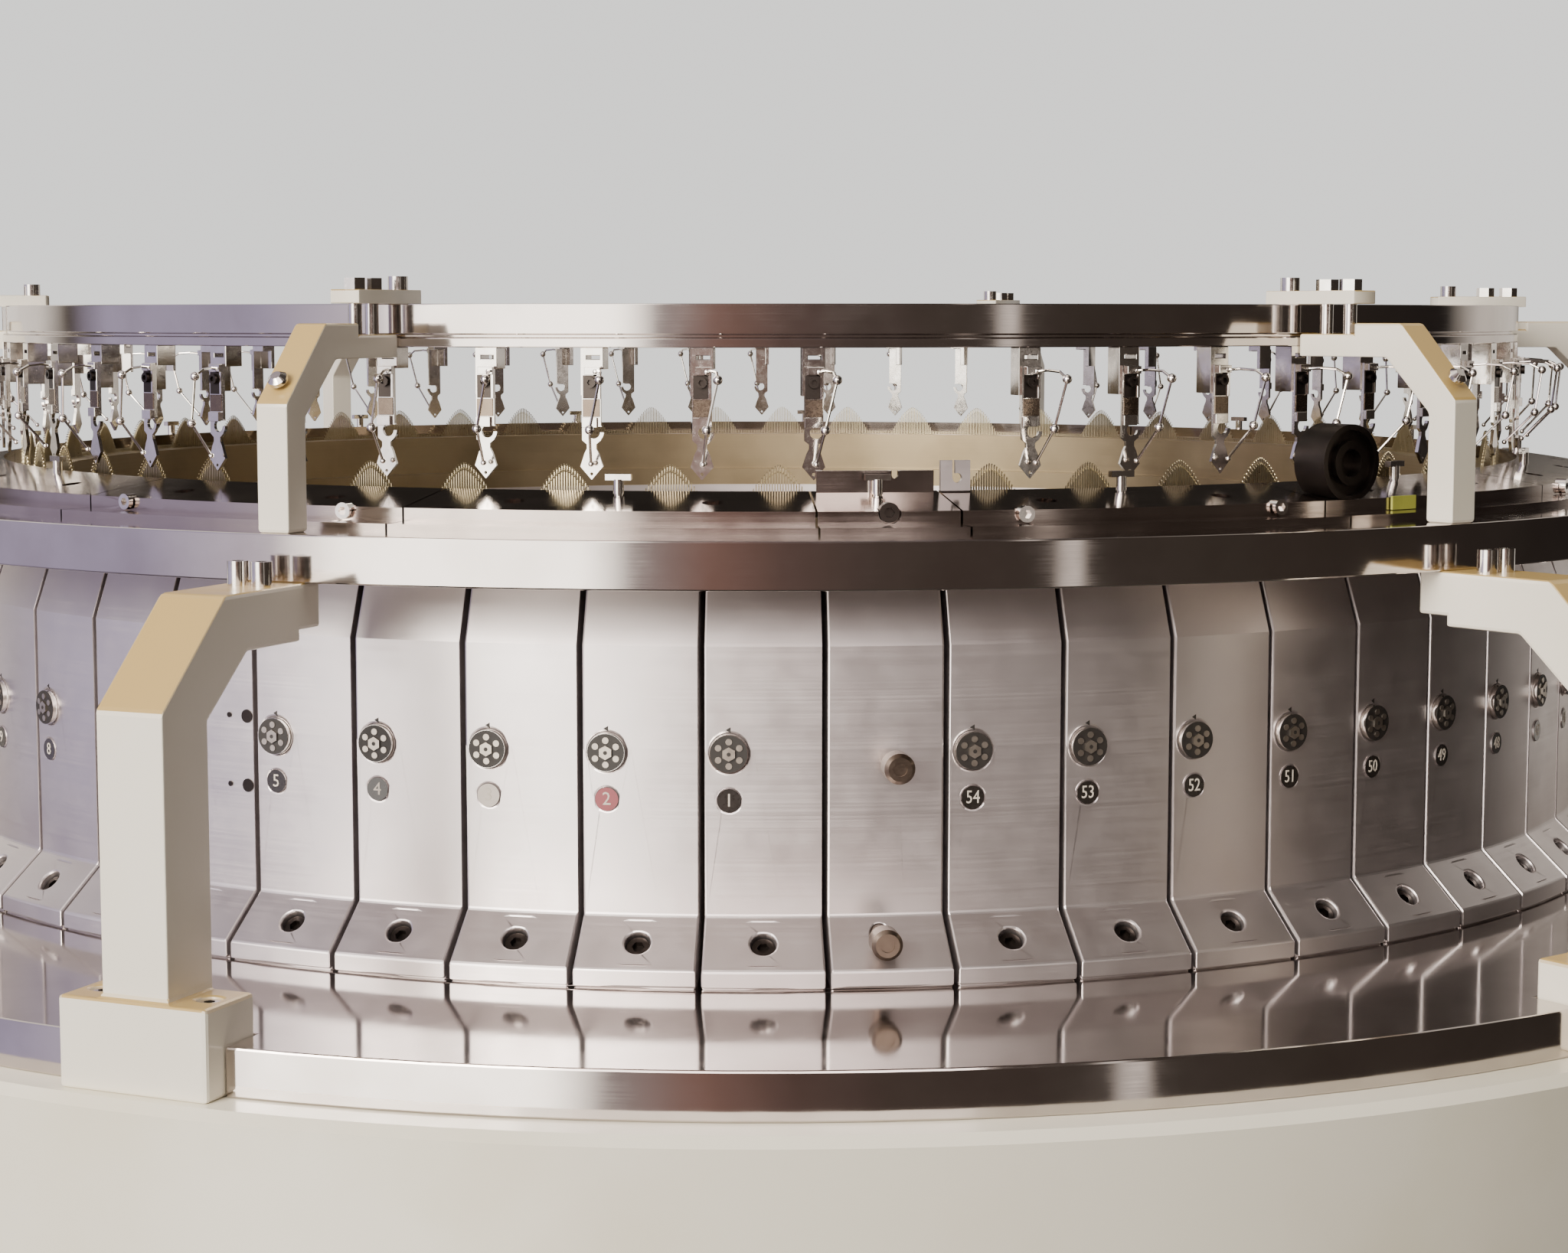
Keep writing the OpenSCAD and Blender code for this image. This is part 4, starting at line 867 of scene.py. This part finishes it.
@dataclass
class Badges:
    """The numbers on the round feed badges, and the two badges in other lacquers."""

    layout: Layout
    bench: Bench
    letter_h: float = 0.0058
    font_share: float = 1.35
    narrow: float = 0.8
    over_badge: float = 0.0001
    cover_r: float = 0.00492
    stroke: float = 0.00008
    red_feed: int = 2
    pale_feed: int = 3

    def number(self, bm: bmesh.types.BMesh, feed: int) -> None:
        """Adds a feed's number, made from a text curve.

        Args:
            bm: the bmesh to add to.
            feed: the number.
        """
        curve = bpy.data.curves.new(f"number_{feed}", "FONT")
        curve.body = str(feed)
        curve.size = self.letter_h * self.font_share
        curve.align_x = "CENTER"
        curve.align_y = "CENTER"
        curve.extrude = self.stroke
        curve.resolution_u = 2
        text = bpy.data.objects.new(curve.name, curve)
        bpy.context.scene.collection.objects.link(text)
        flat = bpy.data.meshes.new_from_object(text)
        radius = self.layout.wall_r + self.layout.badge_proud + self.over_badge
        frame = outward(self.layout.dial_angle(feed), radius, self.layout.badge_z)
        squeeze = Matrix.Diagonal((self.narrow if feed > 9 else 1.0, 1, 1, 1))
        flat.transform(frame @ squeeze)
        bm.from_mesh(flat)
        bpy.data.objects.remove(text)
        bpy.data.curves.remove(curve)
        bpy.data.meshes.remove(flat)

    def disc(self, feed: int, finish: Finish, name: str) -> None:
        """Covers one badge with its own lacquer."""
        frame = outward(self.layout.dial_angle(feed), self.layout.wall_r + self.layout.badge_proud,
                        self.layout.badge_z)
        bm = bmesh.new()
        add_disc(bm, frame, self.cover_r, -0.0004, 0.00005, 32)
        self.bench.finish_piece(name, bm, [finish], Body.FRAME.value)

    def build(self) -> None:
        """Builds the numbers and the two odd badges."""
        bm = bmesh.new()
        for feed in range(1, self.layout.feeds + 1):
            self.number(bm, feed)
        self.bench.finish_piece("badge_numbers", bm, [Finish.WHITE_FILL], Body.FRAME.value)
        self.disc(self.red_feed, Finish.RED_LACQUER, "badge_red")
        self.disc(self.pale_feed, Finish.PALE_LACQUER, "badge_pale")


@dataclass
class SmallTrim:
    """Domed bolts on the upper brackets, marks on one cam box and a yellow-green square on the cap."""

    layout: Layout
    bench: Bench
    marked_feed: int = 6
    # Angle and radius of the pinholes' black discs, which are painted shade, and of the screws
    marks: tuple = ((1.45, 0.0012), (2.72, 0.0030))
    mark_rows: tuple = (0.0075, -0.0031)
    bolt_r: float = 0.0042
    bolt_dome_r: float = 0.0022
    bolt_ring_r: float = 0.4995
    bolt_up: float = 0.0625
    slant_deg: float = 46
    tag_place: tuple = (38.6, 0.4584, 0.0031)

    def domed_bolts(self) -> None:
        """Adds a domed bolt to the slanted face of each upper bracket."""
        low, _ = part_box("upper_brackets")
        bm = bmesh.new()
        slant = math.radians(self.slant_deg)
        for i in range(self.layout.brackets):
            angle = self.layout.bracket_angle + i * 360 / self.layout.brackets
            frame = outward(angle, self.bolt_ring_r, low.z + self.bolt_up)
            frame = frame @ Matrix.Rotation(-slant, 4, "X")
            add_disc(bm, frame, self.bolt_r, -0.0005, 0.0012, 20)
            add_disc(bm, frame, self.bolt_r, 0.0012, 0.0030, 20, tip=self.bolt_dome_r)
        self.bench.finish_piece("bracket_domed_bolts", bm, [Finish.CHROME_PLATE], Body.FRAME.value, "chrome")

    def wall_marks(self) -> None:
        """Adds two black discs for the pinholes, which are painted shade, and the two black screws on one box
        left of the dials in view.
        """
        centre = self.layout.box_angle(self.marked_feed)
        bm = bmesh.new()
        upper, lower = self.mark_rows
        # The small discs stand for the pinholes: painted shade
        for turn, radius in self.marks:
            for height in (self.layout.dial_z + upper, self.layout.badge_z + lower):
                frame = outward(centre + turn, self.layout.wall_r - 0.0003, height)
                add_disc(bm, frame, radius, 0, 0.0008, 16)
        self.bench.finish_piece("wall_marks", bm, [Finish.BLACK_OXIDE], Body.FRAME.value, "dark_steel")

    def tag(self) -> None:
        """Adds a small yellow-green square on the cap by the right bracket."""
        _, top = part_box("carrier_ring")
        bm = bmesh.new()
        angle, radius, over_ring = self.tag_place
        add_box(bm, outward(angle, radius, top.z + over_ring), (-0.008, 0, 0), (0.008, 0.006, 0.0012))
        self.bench.finish_piece("cap_yellow_green_square", bm, [Finish.TAG_PLASTIC], Body.FRAME.value)

    def build(self) -> None:
        """Builds all the trim."""
        self.domed_bolts()
        self.wall_marks()
        self.tag()


NODE_FINISH: dict[Finish, tuple] = {
    Finish.TURNED_CAM_STEEL: ("cam_boxes", "door_box", "door_clip"),
    Finish.WORN_NICKEL: ("door_knobs",),
    Finish.POLISHED_RING: ("bed_plate", "carrier_ring", "feeder_ring", "cloth_roller"),
    Finish.OILED_CAP: ("sinker_caps", "cap_door"),
    Finish.CHROME_PLATE: ("stitch_dials", "cap_screws", "cap_knobs", "clamp_studs", "feeder_hangers",
                          "feeder_guides", "bracket_screws", "bearing_balls", "cap_knob_left",
                          "cap_knob_door", "cap_knob_right"),
    Finish.NEEDLE_STEEL: ("needles", "sinkers"),
    Finish.OILED_CYLINDER: ("needle_cylinder", "trick_ring", "sinker_ring"),
    Finish.BLACK_OXIDE: ("cam_box_screws", "feeder_screws", "needle_sensor", "cap_door_bolt"),
    Finish.CAST_IRON: ("ring_gear", "bearing_race", "drive_shaft", "levelling_feet"),
    Finish.BRONZE: ("drive_bush",),
    Finish.CREAM_ENAMEL: ("bed_casting", "bed_wall", "bed_floor", "leg_front", "leg_right",
                          "leg_left", "base_spider"),
    Finish.BRACKET_ENAMEL: ("lower_brackets", "upper_brackets", "ring_clamps"),
    Finish.GREY_ENAMEL: ("takedown_ring", "takedown_frame"),
    Finish.SLEEVE_RUBBER: ("draw_roller_front", "draw_roller_rear"),
    Finish.BLACK_LACQUER: ("feed_badges",),
}


@dataclass
class Castings:
    """Dresses the CAD nodes: finishes, smooth shading and worn edges."""

    nodes: dict
    finishes: FinishBook
    split_deg: float = 30.0
    fine_split_deg: float = 11.0
    fine_split: tuple = ("cam_boxes", "door_box", "lower_brackets", "upper_brackets", "leg_front",
                         "leg_right", "leg_left", "feeder_guides", "feeder_hangers")
    worn_edges: dict = field(default_factory=lambda: {
        "lower_brackets": 0.0016, "upper_brackets": 0.0012, "ring_clamps": 0.0010,
        "carrier_ring": 0.0007, "bed_plate": 0.0010, "cam_boxes": 0.0009, "door_box": 0.0009,
        "feeder_ring": 0.0004, "feeder_hangers": 0.0003, "leg_front": 0.004, "leg_right": 0.004,
        "leg_left": 0.004, "base_spider": 0.003})

    def finish_of(self, name: str) -> Finish:
        """Gives the finish of a CAD node, dials included."""
        for finish, members in NODE_FINISH.items():
            if name in members:
                return finish
        return Finish.CHROME_PLATE

    def dress(self, name: str, node: bpy.types.Object) -> None:
        """Gives one CAD node its finish and its edges.

        Args:
            name: the node's name.
            node: the node's object.
        """
        node.data.materials.clear()
        node.data.materials.append(self.finishes.get(self.finish_of(name)))
        node.data.shade_smooth()
        weld = node.modifiers.new("weld", "WELD")
        weld.merge_threshold = 1e-6
        if name in self.worn_edges:
            bevel = node.modifiers.new("worn_edges", "BEVEL")
            bevel.width = self.worn_edges[name]
            bevel.segments = 2
            bevel.limit_method = "ANGLE"
            bevel.angle_limit = math.radians(self.split_deg)
            bevel.harden_normals = False
            bevel.use_clamp_overlap = False
        split = node.modifiers.new("crisp_edges", "EDGE_SPLIT")
        split.split_angle = math.radians(self.fine_split_deg if name in self.fine_split else self.split_deg)

    def build(self) -> None:
        """Dresses every node."""
        for name, node in self.nodes.items():
            self.dress(name, node)
        log.info("dressed %d CAD nodes", len(self.nodes))


@dataclass
class Studio:
    """Plain pale floor, soft studio light and the photograph's camera."""

    finishes: FinishBook
    lens_mm: float = 66.7
    distance: float = 1.651
    height: float = 1.1774
    pitch_down: float = 6.01
    shift: tuple = (0.0151, -0.0024)
    strength: float = 5.6
    fill_strength: float = 3.0
    backdrop_strength: float = 1.5
    floor_r: float = 14
    backdrop: str = "#e9e8e5"
    ceiling: str = "#585152"
    ground: str = "#1f1c19"
    dark_side: str = "#0f0d0b"
    room_marks: tuple = (
        (-180, "#100e0c"), (-165, "#100e0c"), (-155, "#8d8882"), (-132, "#8d8882"), (-120, "#2a2622"),
        (-108, "#5d5868"), (-74, "#5d5868"), (-56, "#7b757d"),
        (-47, "#fff9ee"), (-20, "#fff9ee"), (-14, "#514a49"), (-6, "#45342f"), (3, "#2f2522"),
        (12, "#241e1b"), (33.2, "#1f1b18"), (34.0, "#8a837d"), (35.4, "#8a837d"), (36.2, "#1f1b18"),
        (60, "#1b1714"), (118, "#0d0b0a"), (130, "#6f6a64"),
        (152, "#6f6a64"), (166, "#100e0c"), (180, "#100e0c"))

    def camera(self) -> None:
        """Sets the camera at the photograph's viewing angle."""
        data = bpy.data.cameras.new("camera")
        data.lens = self.lens_mm
        data.sensor_width = 36
        data.shift_x, data.shift_y = self.shift
        data.clip_start = 0.05
        camera = bpy.data.objects.new("camera", data)
        camera.location = (0, -self.distance, self.height)
        camera.rotation_euler = (math.radians(90 - self.pitch_down), 0, 0)
        bpy.context.scene.collection.objects.link(camera)
        bpy.context.scene.camera = camera

    def floor(self) -> None:
        """Lays the floor, whose pale colour doesn't show in the metal or light it from below."""
        bm = bmesh.new()
        bmesh.ops.create_circle(bm, cap_ends=True, segments=64, radius=self.floor_r)
        mesh = bpy.data.meshes.new("floor")
        bm.to_mesh(mesh)
        bm.free()
        mesh.materials.append(self.finishes.get(Finish.STUDIO_FLOOR))
        floor = bpy.data.objects.new("floor", mesh)
        bpy.context.scene.collection.objects.link(floor)
        floor.visible_glossy = False
        floor.visible_diffuse = False

    def softbox(self, name: str, azimuth: float, elevation: float, distance: float,
                size: tuple, power: float, colour: str = "#ffffff",
                lit: Lit = Lit.ALL) -> None:
        """Adds one rectangular light that aims at the knitting head.

        Args:
            name: the light's name.
            azimuth: degrees from the front towards +X.
            elevation: degrees above the horizon.
            distance: from the head, in metres.
            size: width and height in metres.
            power: watts.
            colour: hex colour of the light.
            lit: what the light shows in.
        """
        data = bpy.data.lights.new(name, "AREA")
        data.shape = "RECTANGLE"
        data.size, data.size_y = size
        data.energy = power
        data.color = linear(colour)[:3]
        light = bpy.data.objects.new(name, data)
        a, e = math.radians(azimuth), math.radians(elevation)
        out = Vector((math.sin(a) * math.cos(e), -math.cos(a) * math.cos(e), math.sin(e)))
        light.location = Vector((0, 0, 1.0)) + out * distance
        light.rotation_mode = "QUATERNION"
        light.rotation_quaternion = out.to_track_quat("Z", "Y")
        light.visible_camera = False
        light.visible_glossy = lit is not Lit.PAINT
        light.visible_diffuse = lit is not Lit.METAL
        bpy.context.scene.collection.objects.link(light)

    def surroundings(self) -> None:
        """Sets the room: pale to the eye, and with a bright front and a dark back in the metal."""
        world = bpy.data.worlds.new("studio")
        bpy.context.scene.world = world
        world.use_nodes = True
        tree = world.node_tree
        tree.nodes.clear()
        ray = add_node(tree, "ShaderNodeTexCoord").outputs["Generated"]
        split = add_node(tree, "ShaderNodeSeparateXYZ", {0: ray})
        back = add_node(tree, "ShaderNodeMath", {0: split.outputs[1], 1: -1.0}, operation="MULTIPLY")
        angle = add_node(tree, "ShaderNodeMath", {0: split.outputs[0], 1: back.outputs[0]},
                         operation="ARCTAN2").outputs[0]
        place = spread(tree, angle, -math.pi, math.pi, 0.0, 1.0)
        room = add_node(tree, "ShaderNodeValToRGB", {0: place})
        marks = room.color_ramp.elements
        while len(marks) < len(self.room_marks):
            marks.new(0.5)
        for mark, (azimuth, colour) in zip(marks, self.room_marks):
            mark.position = azimuth / 360 + 0.5
            mark.color = linear(colour)
        high = spread(tree, split.outputs[2], 0.62, 0.9, 0.0, 1.0)
        low = spread(tree, split.outputs[2], -0.30, -0.65, 0.0, 1.0)
        turned_away = spread(tree, split.outputs[0], -0.05, 0.3, 0.0, 0.92)
        above = blend_colours(tree, turned_away, self.ceiling, self.dark_side)
        shown = blend_colours(tree, high, room.outputs[0], above)
        shown = blend_colours(tree, low, shown, self.ground)
        path = add_node(tree, "ShaderNodeLightPath")
        shown = blend_colours(tree, path.outputs["Is Camera Ray"], shown, self.backdrop)
        power = spread(tree, path.outputs["Is Diffuse Ray"], 0.0, 1.0, self.strength, self.fill_strength)
        seen = add_node(tree, "ShaderNodeMix", {0: path.outputs["Is Camera Ray"], 2: power,
                                                3: self.backdrop_strength})
        power = seen.outputs[0]
        background = add_node(tree, "ShaderNodeBackground", {"Color": shown, "Strength": power})
        add_node(tree, "ShaderNodeOutputWorld", {"Surface": background.outputs[0]})

    def build(self) -> None:
        """Builds floor, lights, room and camera."""
        self.floor()
        self.softbox("key_left", -34, 20, 3.2, (1.6, 1.2), 110, "#fff6ea")
        self.softbox("front", 0, 20, 3.2, (2.0, 1.4), 46, "#fff1ea", Lit.METAL)
        self.softbox("overhead", 0, 90, 3.4, (4.0, 4.0), 65, "#fffaf2", Lit.PAINT)
        self.softbox("top", -10, 80, 2.8, (2.0, 2.0), 14, "#fff4e4")
        self.surroundings()
        self.camera()


def main() -> None:
    """Dresses the frame, adds the pieces and sets the studio."""
    logging.basicConfig(level=logging.INFO, format="%(name)s %(message)s")
    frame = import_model()
    finishes = FinishBook()
    bench = Bench(finishes)
    layout = Layout()
    Castings(frame["nodes"], finishes).build()
    builders: list[Callable[[], None]] = [
        NeedleRing(layout, bench).build,
        GuideWires(layout, bench).build,
        FeederFaces(layout, bench).build,
        InnerBand(bench).build,
        DialFaces(layout, bench).build,
        Badges(layout, bench).build,
        SmallTrim(layout, bench).build,
        Studio(finishes).build,
    ]
    for build in builders:
        build()


if __name__ == "__main__":
    main()
